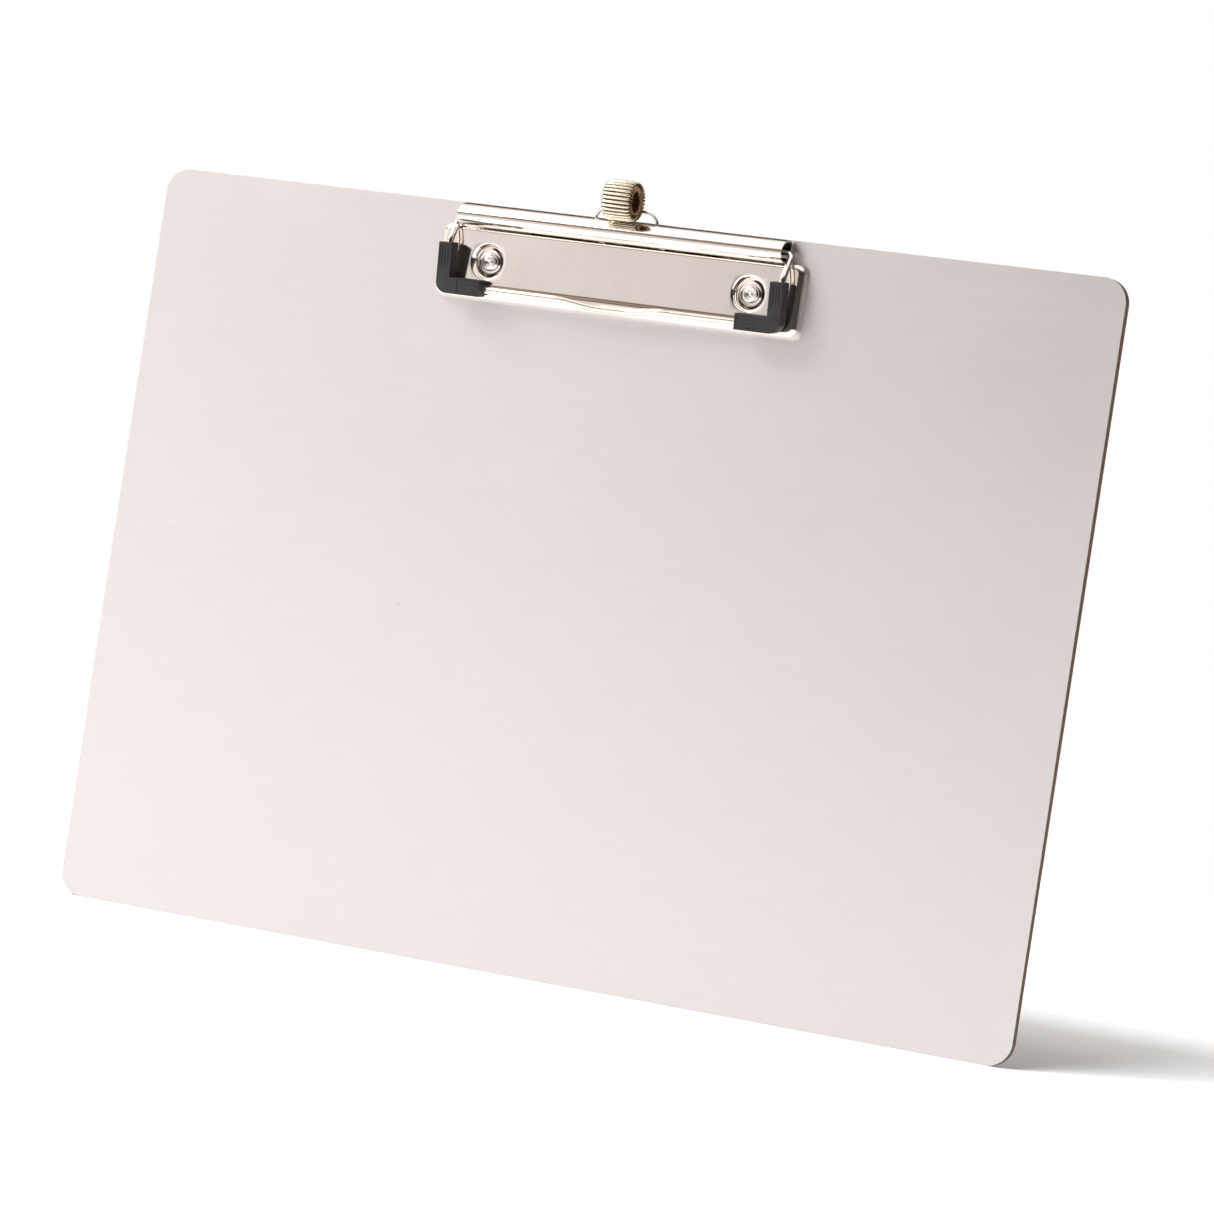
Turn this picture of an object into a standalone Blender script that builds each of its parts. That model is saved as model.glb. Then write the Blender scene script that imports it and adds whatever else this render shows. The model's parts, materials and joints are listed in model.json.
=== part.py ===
"""Landscape clipboard: a laminated board, a riveted wire-bail clip and a coiled pen loop.

World frame: X along the board's width, +Z up towards the clip, the writing face towards -Y.
The origin is the centre of the board's back face.

The clip is drawn in its own frame, which an empty carries: x along the width, y up the board
from its top edge, z out of the writing face. There a place is given as (x, drop, rise): the
distance below the board's top edge and the height over the writing face.
"""

import math

import bmesh
import bpy
from mathutils import Vector

MM = 0.001

# Gap kept between two pieces that touch on the real object.
CONTACT_GAP = 0.3 * MM

# Board: a hardboard core with a thin brushed sheet on its face.
BOARD_WIDTH = 318 * MM
BOARD_HEIGHT = 229 * MM
BOARD_CORNER_RADIUS = 7.5 * MM
CORE_THICKNESS = 2.3 * MM
FACE_THICKNESS = 0.4 * MM
BOARD_THICKNESS = CORE_THICKNESS + CONTACT_GAP + FACE_THICKNESS

# Clip plate: a shallow pressed pan whose upper edge runs on into a rolled tube.
SHEET = 0.5 * MM
PAN_LENGTH = 120 * MM
PAN_WIDTH = 22 * MM
PAN_RISE = 3.0 * MM
PAN_CORNER_RADIUS = 3.0 * MM
PAN_SHOULDER = 1.8 * MM
PAN_TOP_DROP = 7.1 * MM
PAN_FLOOR = CONTACT_GAP
PAN_FACE = PAN_FLOOR + PAN_RISE
PAN_BOTTOM_DROP = PAN_TOP_DROP + PAN_WIDTH
BEAD_WIDTH = 4.0 * MM
BEAD_RISE = 0.4 * MM
BEAD_INSET = 3.0 * MM
BEAD_END_INSET = 6.5 * MM
BEAD_CREST = PAN_FACE + BEAD_RISE

# Rolled tube: an open D, flat against the board, with a nose that hangs over the pan.
TUBE_END_INSET = 6.5 * MM
TUBE_LENGTH = PAN_LENGTH - 2 * TUBE_END_INSET
TUBE_CREST_DROP = 0.3 * MM
TUBE_ROOF_START = 1.0 * MM
TUBE_ROOF_DEPTH = 6.5 * MM
TUBE_ROOF_HEIGHT = 4.5 * MM
TUBE_LIP_HEIGHT = 2.7 * MM
TUBE_LIP_CLEARANCE = 0.9 * MM
TUBE_BACK_OVERLAP = SHEET / 2
TUBE_ROOF_RISE = PAN_FLOOR + TUBE_ROOF_START
TUBE_NOSE_RISE = TUBE_ROOF_RISE + TUBE_ROOF_DEPTH
TUBE_NOSE_DROP = TUBE_CREST_DROP + TUBE_ROOF_HEIGHT
TUBE_LIP_DEPTH = TUBE_NOSE_RISE - PAN_FACE - TUBE_LIP_CLEARANCE
TUBE_LIP_DROP = TUBE_NOSE_DROP + TUBE_LIP_HEIGHT

# Rivets, each in a round dimple that is pressed down to the board.
RIVET_END_INSET = 16.7 * MM
RIVET_SPACING = PAN_LENGTH - 2 * RIVET_END_INSET
RIVET_DROP = PAN_TOP_DROP + 10.4 * MM
RIVET_SHANK_RADIUS = 1.5 * MM
RIVET_HOLE_RADIUS = RIVET_SHANK_RADIUS + CONTACT_GAP
RIVET_FLANGE_RADIUS = 2.7 * MM
RIVET_FLANGE_HEIGHT = 1.0 * MM
RIVET_ROLL_HEIGHT = 0.55 * MM
RIVET_BORE_RADIUS = 1.0 * MM
RIVET_BORE_DEPTH = 0.85 * MM
RIVET_NIB_RADIUS = 0.75 * MM
RIVET_NIB_HEIGHT = 0.35 * MM
RIVET_HEAD_RADIUS = 4.2 * MM
RIVET_HEAD_HEIGHT = 0.7 * MM
RIVET_HEAD_SINK = 0.1 * MM
HEAD_RECESS_RADIUS = RIVET_HEAD_RADIUS + CONTACT_GAP
HEAD_RECESS_DEPTH = RIVET_HEAD_HEIGHT + RIVET_HEAD_SINK + CONTACT_GAP
DIMPLE_RADIUS = 5.1 * MM
DIMPLE_FLOOR_RADIUS = 3.3 * MM
DIMPLE_FLOOR = PAN_FLOOR + SHEET
DIMPLE_RIM_COVER = 0.05 * MM

# Wire bail: its ends turn inside the tube, which is the hinge.
BAIL_WIRE = 2.0 * MM
BAIL_SIDE_GAP = 0.5 * MM
BAIL_PLAY = 0.5 * MM
BAIL_WIDTH = TUBE_LENGTH + 2 * BAIL_SIDE_GAP + BAIL_WIRE
BAIL_AXIS_DROP = TUBE_NOSE_DROP - 0.4 * MM
BAIL_AXIS_RISE = PAN_FLOOR + SHEET + CONTACT_GAP + BAIL_PLAY + BAIL_WIRE / 2
BAIL_KNEE_DROP = TUBE_LIP_DROP + 5.1 * MM
BAIL_RUN_INSET = 2.7 * MM
BAIL_RUN_DROP = PAN_BOTTOM_DROP - BAIL_RUN_INSET
BAIL_RUN_RISE = BEAD_CREST + CONTACT_GAP + BAIL_WIRE / 2
BAIL_TILT = math.radians(8)
BAIL_END_LENGTH = 22 * MM
BAIL_HOOK_RADIUS = 2.0 * MM
BAIL_KNEE_RADIUS = 4.0 * MM
BAIL_CORNER_RADIUS = 3.0 * MM
BOW_WIDTH = 32 * MM
BOW_FLAT = 12 * MM
BOW_DEPTH = 1.3 * MM
BOW_RADIUS = 35 * MM

# Corner grips: moulded L pieces that clip over the bail's two lower corners.
GRIP_LEG_WIDTH = BAIL_WIRE + 2.3 * MM
GRIP_FOOT_HEIGHT = BAIL_WIRE + 2.95 * MM
GRIP_HEIGHT = 15.3 * MM
GRIP_LENGTH = 14.65 * MM
GRIP_THICKNESS = BAIL_WIRE + 2.4 * MM
GRIP_CORNER_RADIUS = 3.5 * MM
GRIP_SIDE_MARGIN = BAIL_WIRE / 2 + 0.9 * MM
GRIP_LOWER_MARGIN = BAIL_WIRE / 2 + 1.0 * MM
GRIP_EDGE = 0.3 * MM

# Pen loop: a flattened coil spring bent into a ring that sits on the tube's roof.
COIL_WIRE = 0.6 * MM
COIL_LENGTH = 9.8 * MM
COIL_RADIUS = 6.2 * MM
COIL_HOLE_RADIUS = 3.2 * MM
COIL_TURNS = 30
COIL_CHAMFER = 0.7 * MM
COIL_SEAT_ANGLE = math.radians(29)
COIL_SEAM_ANGLE = math.radians(-60)

# Pen loop wire: its ends turn in slots in the tube's roof, its bar passes through the coil.
LOOP_WIRE = 0.9 * MM
LOOP_WIDTH = 20.1 * MM
LOOP_AXIS_DROP = TUBE_CREST_DROP + SHEET + CONTACT_GAP + 0.2 * MM + LOOP_WIRE / 2
LOOP_AXIS_RISE = PAN_FLOOR + SHEET + CONTACT_GAP + 0.75 * MM + LOOP_WIRE / 2
LOOP_END_LENGTH = 3.0 * MM
LOOP_NECK_DROP = TUBE_CREST_DROP - 0.75 * MM
LOOP_SHOULDER_WIDTH = LOOP_WIDTH - 2.6 * MM
LOOP_SHOULDER_DROP = TUBE_CREST_DROP - 2.6 * MM
LOOP_SHOULDER_RISE = LOOP_AXIS_RISE + 0.3 * MM
LOOP_BAR_OVERHANG = 1.3 * MM
SLOT_WIDTH = LOOP_WIRE + 2 * CONTACT_GAP
SLOT_BACK_RISE = PAN_FLOOR + SHEET + 0.1 * MM
SLOT_FRONT_RISE = LOOP_AXIS_RISE + LOOP_WIRE / 2 + CONTACT_GAP

ROUND_STEPS = 24
HIDDEN_REACH = 2 * MM


def clear_scene():
    for obj in list(bpy.data.objects):
        bpy.data.objects.remove(obj, do_unlink=True)


def make_collection(name, hidden=False):
    collection = bpy.data.collections.new(name)
    collection.hide_render = hidden
    bpy.context.scene.collection.children.link(collection)
    return collection


def make_material(name, colour, metallic, roughness):
    material = bpy.data.materials.new(name)
    material.use_nodes = True
    shader = material.node_tree.nodes["Principled BSDF"]
    shader.inputs["Base Color"].default_value = (*colour, 1.0)
    shader.inputs["Metallic"].default_value = metallic
    shader.inputs["Roughness"].default_value = roughness
    return material


def add_object(name, data, collection, parent=None, offset=(0, 0, 0), material=None):
    """Link an object under a parent empty; offset is measured in the parent's frame."""
    obj = bpy.data.objects.new(name, data)
    collection.objects.link(obj)
    obj.parent = parent
    obj.location = offset
    if material:
        data.materials.append(material)
    return obj


def add_cutter(name, data, collection, parent=None, offset=(0, 0, 0)):
    cutter = add_object(name, data, collection, parent, offset)
    cutter.hide_render = True
    cutter.display_type = "WIRE"
    return cutter


def mesh_from(bm, name):
    mesh = bpy.data.meshes.new(name)
    bmesh.ops.recalc_face_normals(bm, faces=bm.faces[:])
    bm.to_mesh(mesh)
    bm.free()
    return mesh


def skin_from(bm, name):
    """A mesh from an open skin whose faces look outwards: the one that stands highest looks up."""
    bmesh.ops.recalc_face_normals(bm, faces=bm.faces[:])
    bm.normal_update()
    highest = max(bm.faces, key=lambda face: face.calc_center_median().z)
    if highest.normal.z < 0:
        bmesh.ops.reverse_faces(bm, faces=bm.faces[:])
    mesh = bpy.data.meshes.new(name)
    bm.to_mesh(mesh)
    bm.free()
    return mesh


def clip_point(x, drop, rise):
    """A place in the clip's frame."""
    return Vector((x, -drop, rise))


def arc(centre, radius, start, end, steps):
    """Points along a circular arc in a plane, from one angle to another, both ends included."""
    points = []
    for i in range(steps + 1):
        angle = start + (end - start) * i / steps
        points.append((centre[0] + radius * math.cos(angle), centre[1] + radius * math.sin(angle)))
    return points


def rounded_path(corners, radii, steps=4):
    """The path through the corners, with each inner corner replaced by an arc of its radius."""
    path = [corners[0]]
    for i, radius in enumerate(radii, start=1):
        back = (corners[i - 1] - corners[i]).normalized()
        ahead = (corners[i + 1] - corners[i]).normalized()
        half = back.angle(ahead) / 2
        centre = corners[i] + (back + ahead).normalized() * radius / math.sin(half)
        first = corners[i] + back * radius / math.tan(half) - centre
        last = corners[i] + ahead * radius / math.tan(half) - centre
        reach = first.length
        path.extend(centre + first.slerp(last, k / steps).normalized() * reach for k in range(steps + 1))
    path.append(corners[-1])
    return path


def mirrored(half):
    """A path and its mirror image across x = 0, as one path."""
    return half + [Vector((-p.x, p.y, p.z)) for p in reversed(half)]


def wire_curve(name, points, diameter):
    """A round wire along the points, with closed ends."""
    curve = bpy.data.curves.new(name, "CURVE")
    curve.dimensions = "3D"
    curve.bevel_depth = diameter / 2
    curve.bevel_resolution = 2
    curve.use_fill_caps = True
    spline = curve.splines.new("POLY")
    spline.points.add(len(points) - 1)
    for point, place in zip(spline.points, points):
        point.co = (*place, 1.0)
    return curve


def flat_curve(name, outlines, thickness):
    """A flat sheet bounded by the first outline, with holes at the others."""
    curve = bpy.data.curves.new(name, "CURVE")
    curve.dimensions = "2D"
    curve.fill_mode = "BOTH"
    curve.extrude = thickness / 2
    for outline in outlines:
        spline = curve.splines.new("POLY")
        spline.use_cyclic_u = True
        spline.points.add(len(outline) - 1)
        for point, (x, y) in zip(spline.points, outline):
            point.co = (x, y, 0.0, 1.0)
    return curve


def curve_as_mesh(obj):
    """Replace a curve object by a mesh object with welded caps, in the same place."""
    bpy.context.view_layer.update()
    evaluated = obj.evaluated_get(bpy.context.evaluated_depsgraph_get())
    mesh = bpy.data.meshes.new_from_object(evaluated)
    bm = bmesh.new()
    bm.from_mesh(mesh)
    bmesh.ops.remove_doubles(bm, verts=bm.verts[:], dist=1e-6)
    bmesh.ops.recalc_face_normals(bm, faces=bm.faces[:])
    bm.to_mesh(mesh)
    bm.free()
    name = obj.name
    solid = bpy.data.objects.new(name + "_solid", mesh)
    obj.users_collection[0].objects.link(solid)
    solid.matrix_world = obj.matrix_world
    solid.hide_render = obj.hide_render
    solid.display_type = obj.display_type
    bpy.data.objects.remove(obj, do_unlink=True)
    solid.name = name
    return solid


def smooth(obj, angle=35):
    obj.data.shade_smooth()
    obj.data.set_sharp_from_angle(angle=math.radians(angle))


def boolean(obj, other, operation):
    modifier = obj.modifiers.new(operation.title() + " " + other.name, "BOOLEAN")
    modifier.object = other
    modifier.operation = operation
    modifier.solver = "EXACT"


def solidify(obj, thickness):
    modifier = obj.modifiers.new("Sheet", "SOLIDIFY")
    modifier.thickness = thickness
    modifier.offset = -1
    modifier.use_even_offset = True


def turned(name, profile, collection, parent, offset, material=None, closed=False):
    """A round piece about the parent's z axis; the profile holds (radius, rise) points."""
    mesh = bpy.data.meshes.new(name)
    points = [(radius, 0.0, rise) for radius, rise in profile]
    edges = [(i, i + 1) for i in range(len(points) - 1)]
    if closed:
        edges.append((len(points) - 1, 0))
    mesh.from_pydata(points, edges, [])
    obj = add_object(name, mesh, collection, parent, offset, material)
    screw = obj.modifiers.new("Turn", "SCREW")
    screw.steps = ROUND_STEPS
    screw.render_steps = ROUND_STEPS
    screw.use_merge_vertices = True
    screw.merge_threshold = 0.00001
    screw.use_smooth_shade = False
    return obj


def round_cutter(name, radius, low, high, collection, parent, offset):
    bm = bmesh.new()
    bmesh.ops.create_cone(
        bm, cap_ends=True, segments=ROUND_STEPS, radius1=radius, radius2=radius, depth=high - low
    )
    bmesh.ops.translate(bm, vec=(0, 0, (high + low) / 2), verts=bm.verts[:])
    return add_cutter(name, mesh_from(bm, name), collection, parent, offset)


def rivet_places():
    """The two rivets' names and their places across the clip."""
    return (("left", -RIVET_SPACING / 2), ("right", RIVET_SPACING / 2))


def board_outline():
    """The board's rounded rectangle about its own centre, and its rivet holes."""
    inner_x = BOARD_WIDTH / 2 - BOARD_CORNER_RADIUS
    inner_y = BOARD_HEIGHT / 2 - BOARD_CORNER_RADIUS
    corners = ((inner_x, inner_y), (-inner_x, inner_y), (-inner_x, -inner_y), (inner_x, -inner_y))
    outline = []
    for i, centre in enumerate(corners):
        start = i * math.pi / 2
        outline.extend(arc(centre, BOARD_CORNER_RADIUS, start, start + math.pi / 2, 8))
    holes = []
    for _, x in rivet_places():
        centre = (x, BOARD_HEIGHT / 2 - RIVET_DROP)
        holes.append(arc(centre, RIVET_HOLE_RADIUS, 0, 2 * math.pi, ROUND_STEPS)[:-1])
    return [outline] + holes


def make_board(collection, cutters, frame, hardboard, aluminium):
    """The core's back face is at y = 0, and the brushed face sheet lies in front of it."""
    core_middle = -CORE_THICKNESS / 2
    face_middle = -(CORE_THICKNESS + CONTACT_GAP + FACE_THICKNESS / 2)
    sheets = (
        ("hardboard_core", CORE_THICKNESS, core_middle, hardboard),
        ("aluminium_face", FACE_THICKNESS, face_middle, aluminium),
    )
    for name, thickness, middle, material in sheets:
        curve = flat_curve(name, board_outline(), thickness)
        sheet = add_object(name, curve, collection, offset=(0, middle, 0), material=material)
        sheet.rotation_euler = (math.pi / 2, 0, 0)
    core = curve_as_mesh(collection.objects["hardboard_core"])
    for side, x in rivet_places():
        place = clip_point(x, RIVET_DROP, 0)
        low = -BOARD_THICKNESS - HIDDEN_REACH
        high = -BOARD_THICKNESS + HEAD_RECESS_DEPTH
        recess = round_cutter("head_recess_" + side, HEAD_RECESS_RADIUS, low, high, cutters, frame, place)
        boolean(core, recess, "DIFFERENCE")


def pan_mesh():
    """The pan's outer skin: a rounded box with no floor."""
    bm = bmesh.new()
    bmesh.ops.create_cube(bm, size=1.0)
    bmesh.ops.scale(bm, vec=(PAN_LENGTH, PAN_WIDTH, PAN_RISE), verts=bm.verts[:])
    centre = clip_point(0, (PAN_TOP_DROP + PAN_BOTTOM_DROP) / 2, PAN_FLOOR + PAN_RISE / 2)
    bmesh.ops.translate(bm, vec=centre, verts=bm.verts[:])
    upright = [e for e in bm.edges if abs(e.verts[0].co.z - e.verts[1].co.z) > PAN_RISE / 2]
    bmesh.ops.bevel(
        bm, geom=upright, offset=PAN_CORNER_RADIUS, segments=5, profile=0.5, affect="EDGES"
    )
    shoulder = []
    for edge in bm.edges:
        at_top = all(abs(v.co.z - PAN_FACE) < 1e-6 for v in edge.verts)
        if at_top and len(edge.link_faces) == 2:
            shoulder.append(edge)
    bmesh.ops.bevel(
        bm, geom=shoulder, offset=PAN_SHOULDER, segments=4, profile=0.5, affect="EDGES"
    )
    floor = [f for f in bm.faces if all(abs(v.co.z - PAN_FLOOR) < 1e-6 for v in f.verts)]
    bmesh.ops.delete(bm, geom=floor, context="FACES")
    return skin_from(bm, "clip_plate")


def tube_profile():
    """(drop, rise) points up the back wall, over the roof, round the nose and in to the lip."""
    back_end = PAN_TOP_DROP + TUBE_BACK_OVERLAP
    profile = [(back_end, PAN_FLOOR)]
    bend = TUBE_ROOF_START
    for across, down in arc((0, 0), bend, math.pi, math.pi / 2, 4):
        profile.append((TUBE_CREST_DROP + bend - down, TUBE_ROOF_RISE + across))
    roof_steps = 12
    for i in range(1, roof_steps + 1):
        angle = math.pi / 2 * i / roof_steps
        drop = TUBE_NOSE_DROP - TUBE_ROOF_HEIGHT * math.cos(angle)
        profile.append((drop, TUBE_ROOF_RISE + TUBE_ROOF_DEPTH * math.sin(angle)))
    lip_steps = 8
    for i in range(1, lip_steps + 1):
        angle = math.pi / 2 * i / lip_steps
        rise = TUBE_NOSE_RISE - TUBE_LIP_DEPTH * (1 - math.cos(angle))
        profile.append((TUBE_NOSE_DROP + TUBE_LIP_HEIGHT * math.sin(angle), rise))
    return profile


def tube_mesh():
    """The rolled tube's outer skin, swept along x."""
    bm = bmesh.new()
    verts = [bm.verts.new(clip_point(-TUBE_LENGTH / 2, drop, rise)) for drop, rise in tube_profile()]
    edges = [bm.edges.new(pair) for pair in zip(verts, verts[1:])]
    swept = bmesh.ops.extrude_edge_only(bm, edges=edges)
    moved = [item for item in swept["geom"] if isinstance(item, bmesh.types.BMVert)]
    bmesh.ops.translate(bm, vec=(TUBE_LENGTH, 0, 0), verts=moved)
    return skin_from(bm, "clip_tube")


def bead_mesh():
    """The ridge along the pan's lower edge, a bar of oval section."""
    bm = bmesh.new()
    length = PAN_LENGTH - 2 * BEAD_END_INSET
    bmesh.ops.create_cone(bm, cap_ends=True, segments=16, radius1=1, radius2=1, depth=length)
    height = BEAD_RISE + SHEET / 2
    for vert in bm.verts:
        vert.co = (vert.co.z, vert.co.x * BEAD_WIDTH / 2, vert.co.y * height)
    centre = clip_point(0, PAN_BOTTOM_DROP - BEAD_INSET, PAN_FACE - SHEET / 2)
    bmesh.ops.translate(bm, vec=centre, verts=bm.verts[:])
    return mesh_from(bm, "clip_bead")


def dimple_profile():
    """The pressed dimple's wall, from a rim buried in the pan's sheet to the rivet hole."""
    top = PAN_FACE - DIMPLE_RIM_COVER
    under = PAN_FACE - SHEET + DIMPLE_RIM_COVER
    run = (DIMPLE_RADIUS - DIMPLE_FLOOR_RADIUS) / (top - DIMPLE_FLOOR)
    wall = SHEET * math.hypot(1, run)
    return [
        (DIMPLE_RADIUS + wall, top),
        (DIMPLE_RADIUS + wall, under),
        (DIMPLE_FLOOR_RADIUS + wall + run * (under - DIMPLE_FLOOR), under),
        (DIMPLE_FLOOR_RADIUS + wall + run * (PAN_FLOOR - DIMPLE_FLOOR), PAN_FLOOR),
        (RIVET_HOLE_RADIUS, PAN_FLOOR),
        (RIVET_HOLE_RADIUS, DIMPLE_FLOOR),
        (DIMPLE_FLOOR_RADIUS, DIMPLE_FLOOR),
        (DIMPLE_RADIUS, top),
    ]


def box_cutter(name, low, high, collection, parent):
    bm = bmesh.new()
    bmesh.ops.create_cube(bm, size=1.0)
    bmesh.ops.scale(bm, vec=high - low, verts=bm.verts[:])
    bmesh.ops.translate(bm, vec=(high + low) / 2, verts=bm.verts[:])
    return add_cutter(name, mesh_from(bm, name), collection, parent)


def make_clip_plate(parts, cutters, frame, nickel):
    """Pan, bead, two dimples and rolled tube, joined into one pressed sheet."""
    plate = add_object("clip_plate", pan_mesh(), parts, frame, material=nickel)
    solidify(plate, SHEET)
    tube = add_cutter("clip_tube", tube_mesh(), cutters, frame)
    solidify(tube, SHEET)
    boolean(plate, tube, "UNION")
    bead = add_cutter("clip_bead", bead_mesh(), cutters, frame)
    boolean(plate, bead, "UNION")
    for side, x in rivet_places():
        place = clip_point(x, RIVET_DROP, 0)
        low = PAN_FACE - SHEET - HIDDEN_REACH
        high = PAN_FACE + HIDDEN_REACH
        opening = round_cutter("dimple_opening_" + side, DIMPLE_RADIUS, low, high, cutters, frame, place)
        boolean(plate, opening, "DIFFERENCE")
        dimple = turned("dimple_" + side, dimple_profile(), cutters, frame, place, closed=True)
        dimple.hide_render = True
        dimple.display_type = "WIRE"
        boolean(plate, dimple, "UNION")
        middle = math.copysign(LOOP_WIDTH / 2, x)
        slot = box_cutter(
            "loop_slot_" + side,
            Vector((middle - SLOT_WIDTH / 2, -LOOP_AXIS_DROP, SLOT_BACK_RISE)),
            Vector((middle + SLOT_WIDTH / 2, HIDDEN_REACH, SLOT_FRONT_RISE)),
            cutters,
            frame,
        )
        boolean(plate, slot, "DIFFERENCE")


def rivet_profile():
    """A semi-tubular rivet: rolled flange in front, shank, and a low head sunk in the board's back."""
    seat = DIMPLE_FLOOR + CONTACT_GAP
    crown = seat + RIVET_FLANGE_HEIGHT
    bore_floor = crown - RIVET_BORE_DEPTH
    back = RIVET_HEAD_HEIGHT + RIVET_HEAD_SINK - BOARD_THICKNESS
    roll_middle = (RIVET_FLANGE_RADIUS + RIVET_BORE_RADIUS) / 2
    roll_reach = (RIVET_FLANGE_RADIUS - RIVET_BORE_RADIUS) / 2
    profile = [
        (0, bore_floor + RIVET_NIB_HEIGHT),
        (RIVET_NIB_RADIUS / 2, bore_floor + RIVET_NIB_HEIGHT),
        (RIVET_NIB_RADIUS, bore_floor),
        (RIVET_BORE_RADIUS, bore_floor),
    ]
    for out, up in arc((0, 0), 1, math.pi, 0, 6):
        height = crown - RIVET_ROLL_HEIGHT * (1 - up)
        profile.append((roll_middle + roll_reach * out, height))
    profile += [(RIVET_FLANGE_RADIUS, seat), (RIVET_SHANK_RADIUS, seat), (RIVET_SHANK_RADIUS, back)]
    dome = arc((0, 0), 1, 0, math.pi / 2, 5)
    profile += [(RIVET_HEAD_RADIUS * out, back - RIVET_HEAD_HEIGHT * up) for out, up in dome[:-1]]
    profile.append((0, back - RIVET_HEAD_HEIGHT))
    return profile


def make_rivets(parts, frame, nickel):
    for side, x in rivet_places():
        place = clip_point(x, RIVET_DROP, 0)
        turned("rivet_" + side, rivet_profile(), parts, frame, place, nickel)


def bail_knee_rise():
    return BAIL_RUN_RISE + (BAIL_RUN_DROP - BAIL_KNEE_DROP) * math.tan(BAIL_TILT)


def bail_path():
    """The bail's centre line in the clip's frame."""
    side = -BAIL_WIDTH / 2
    end = -(TUBE_LENGTH / 2 - BAIL_END_LENGTH)
    corners = [
        clip_point(end, BAIL_AXIS_DROP, BAIL_AXIS_RISE),
        clip_point(side, BAIL_AXIS_DROP, BAIL_AXIS_RISE),
        clip_point(side, BAIL_KNEE_DROP, bail_knee_rise()),
        clip_point(side, BAIL_RUN_DROP, BAIL_RUN_RISE),
        clip_point(-BOW_WIDTH / 2, BAIL_RUN_DROP, BAIL_RUN_RISE),
        clip_point(-BOW_FLAT / 2, BAIL_RUN_DROP + BOW_DEPTH, BAIL_RUN_RISE),
        clip_point(0, BAIL_RUN_DROP + BOW_DEPTH, BAIL_RUN_RISE),
    ]
    radii = [BAIL_HOOK_RADIUS, BAIL_KNEE_RADIUS, BAIL_CORNER_RADIUS, BOW_RADIUS, BOW_RADIUS]
    half = rounded_path(corners, radii, steps=5)[:-1]
    return mirrored(half)


def grip_outline(side):
    """The L in the bail's tilted plane: x across the clip, y up the board from the wire's run."""
    outer = BAIL_WIDTH / 2 + GRIP_SIDE_MARGIN
    low = -GRIP_LOWER_MARGIN
    corner = (outer - GRIP_CORNER_RADIUS, low + GRIP_CORNER_RADIUS)
    points = [
        (outer - GRIP_LEG_WIDTH, low + GRIP_HEIGHT),
        (outer - GRIP_LEG_WIDTH, low + GRIP_FOOT_HEIGHT),
        (outer - GRIP_LENGTH, low + GRIP_FOOT_HEIGHT),
        (outer - GRIP_LENGTH, low),
    ]
    points += arc(corner, GRIP_CORNER_RADIUS, -math.pi / 2, 0, 6)
    points.append((outer, low + GRIP_HEIGHT))
    if side < 0:
        points = [(-x, y) for x, y in reversed(points)]
    return points


def make_bail(parts, cutters, pivot, nickel, plastic):
    """The wire and its two grips, which turn together about the pivot empty."""
    shift = -pivot.location
    wire = wire_curve("bail_wire", bail_path(), BAIL_WIRE)
    add_object("bail_wire", wire, parts, pivot, shift, nickel)
    groove_curve = wire_curve("grip_groove", bail_path(), BAIL_WIRE + 2 * CONTACT_GAP)
    groove = curve_as_mesh(add_cutter("grip_groove", groove_curve, cutters, pivot, shift))
    outward = Vector((0, -math.sin(BAIL_TILT), math.cos(BAIL_TILT)))
    run = clip_point(0, BAIL_RUN_DROP, BAIL_RUN_RISE)
    place = shift + run + outward * (GRIP_THICKNESS - BAIL_WIRE) / 2
    for name, side in (("grip_left", -1), ("grip_right", 1)):
        curve = flat_curve(name, [grip_outline(side)], GRIP_THICKNESS)
        grip = add_object(name, curve, parts, pivot, place, plastic)
        grip.rotation_euler = (BAIL_TILT, 0, 0)
        grip = curve_as_mesh(grip)
        edge = grip.modifiers.new("Edge", "BEVEL")
        edge.width = GRIP_EDGE
        edge.segments = 1
        edge.limit_method = "ANGLE"
        edge.angle_limit = math.radians(40)
        boolean(grip, groove, "DIFFERENCE")
        smooth(grip)


def coil_centre():
    """(drop, rise) of the pen loop's axis: the coil rests on the tube's elliptical roof."""
    angle = COIL_SEAT_ANGLE
    seat_drop = TUBE_NOSE_DROP - TUBE_ROOF_HEIGHT * math.cos(angle)
    seat_rise = TUBE_ROOF_RISE + TUBE_ROOF_DEPTH * math.sin(angle)
    out = Vector((-math.cos(angle) / TUBE_ROOF_HEIGHT, math.sin(angle) / TUBE_ROOF_DEPTH))
    out.normalize()
    reach = COIL_RADIUS + CONTACT_GAP
    return seat_drop + out.x * reach, seat_rise + out.y * reach


def coil_section():
    """One turn's (x, radius) points: a long loop with chamfered corners."""
    half = (COIL_LENGTH - COIL_WIRE) / 2
    inner = COIL_HOLE_RADIUS + COIL_WIRE / 2
    outer = COIL_RADIUS - COIL_WIRE / 2
    cut = COIL_CHAMFER
    return [
        (-half + cut, inner),
        (half - cut, inner),
        (half, inner + cut),
        (half, outer - cut),
        (half - cut, outer),
        (-half + cut, outer),
        (-half, outer - cut),
        (-half, inner + cut),
    ]


def coil_path():
    """All turns round the ring, leaving a seam where the loop wire's bar passes through."""
    section = coil_section()
    middle = (COIL_RADIUS + COIL_HOLE_RADIUS) / 2
    seam = (LOOP_WIRE + COIL_WIRE + 2 * CONTACT_GAP) / middle
    drop, rise = coil_centre()
    count = COIL_TURNS * len(section)
    points = []
    for i in range(count):
        x, radius = section[i % len(section)]
        angle = COIL_SEAM_ANGLE + seam / 2 + (2 * math.pi - seam) * i / (count - 1)
        points.append(clip_point(x, drop + radius * math.cos(angle), rise + radius * math.sin(angle)))
    return points


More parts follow.
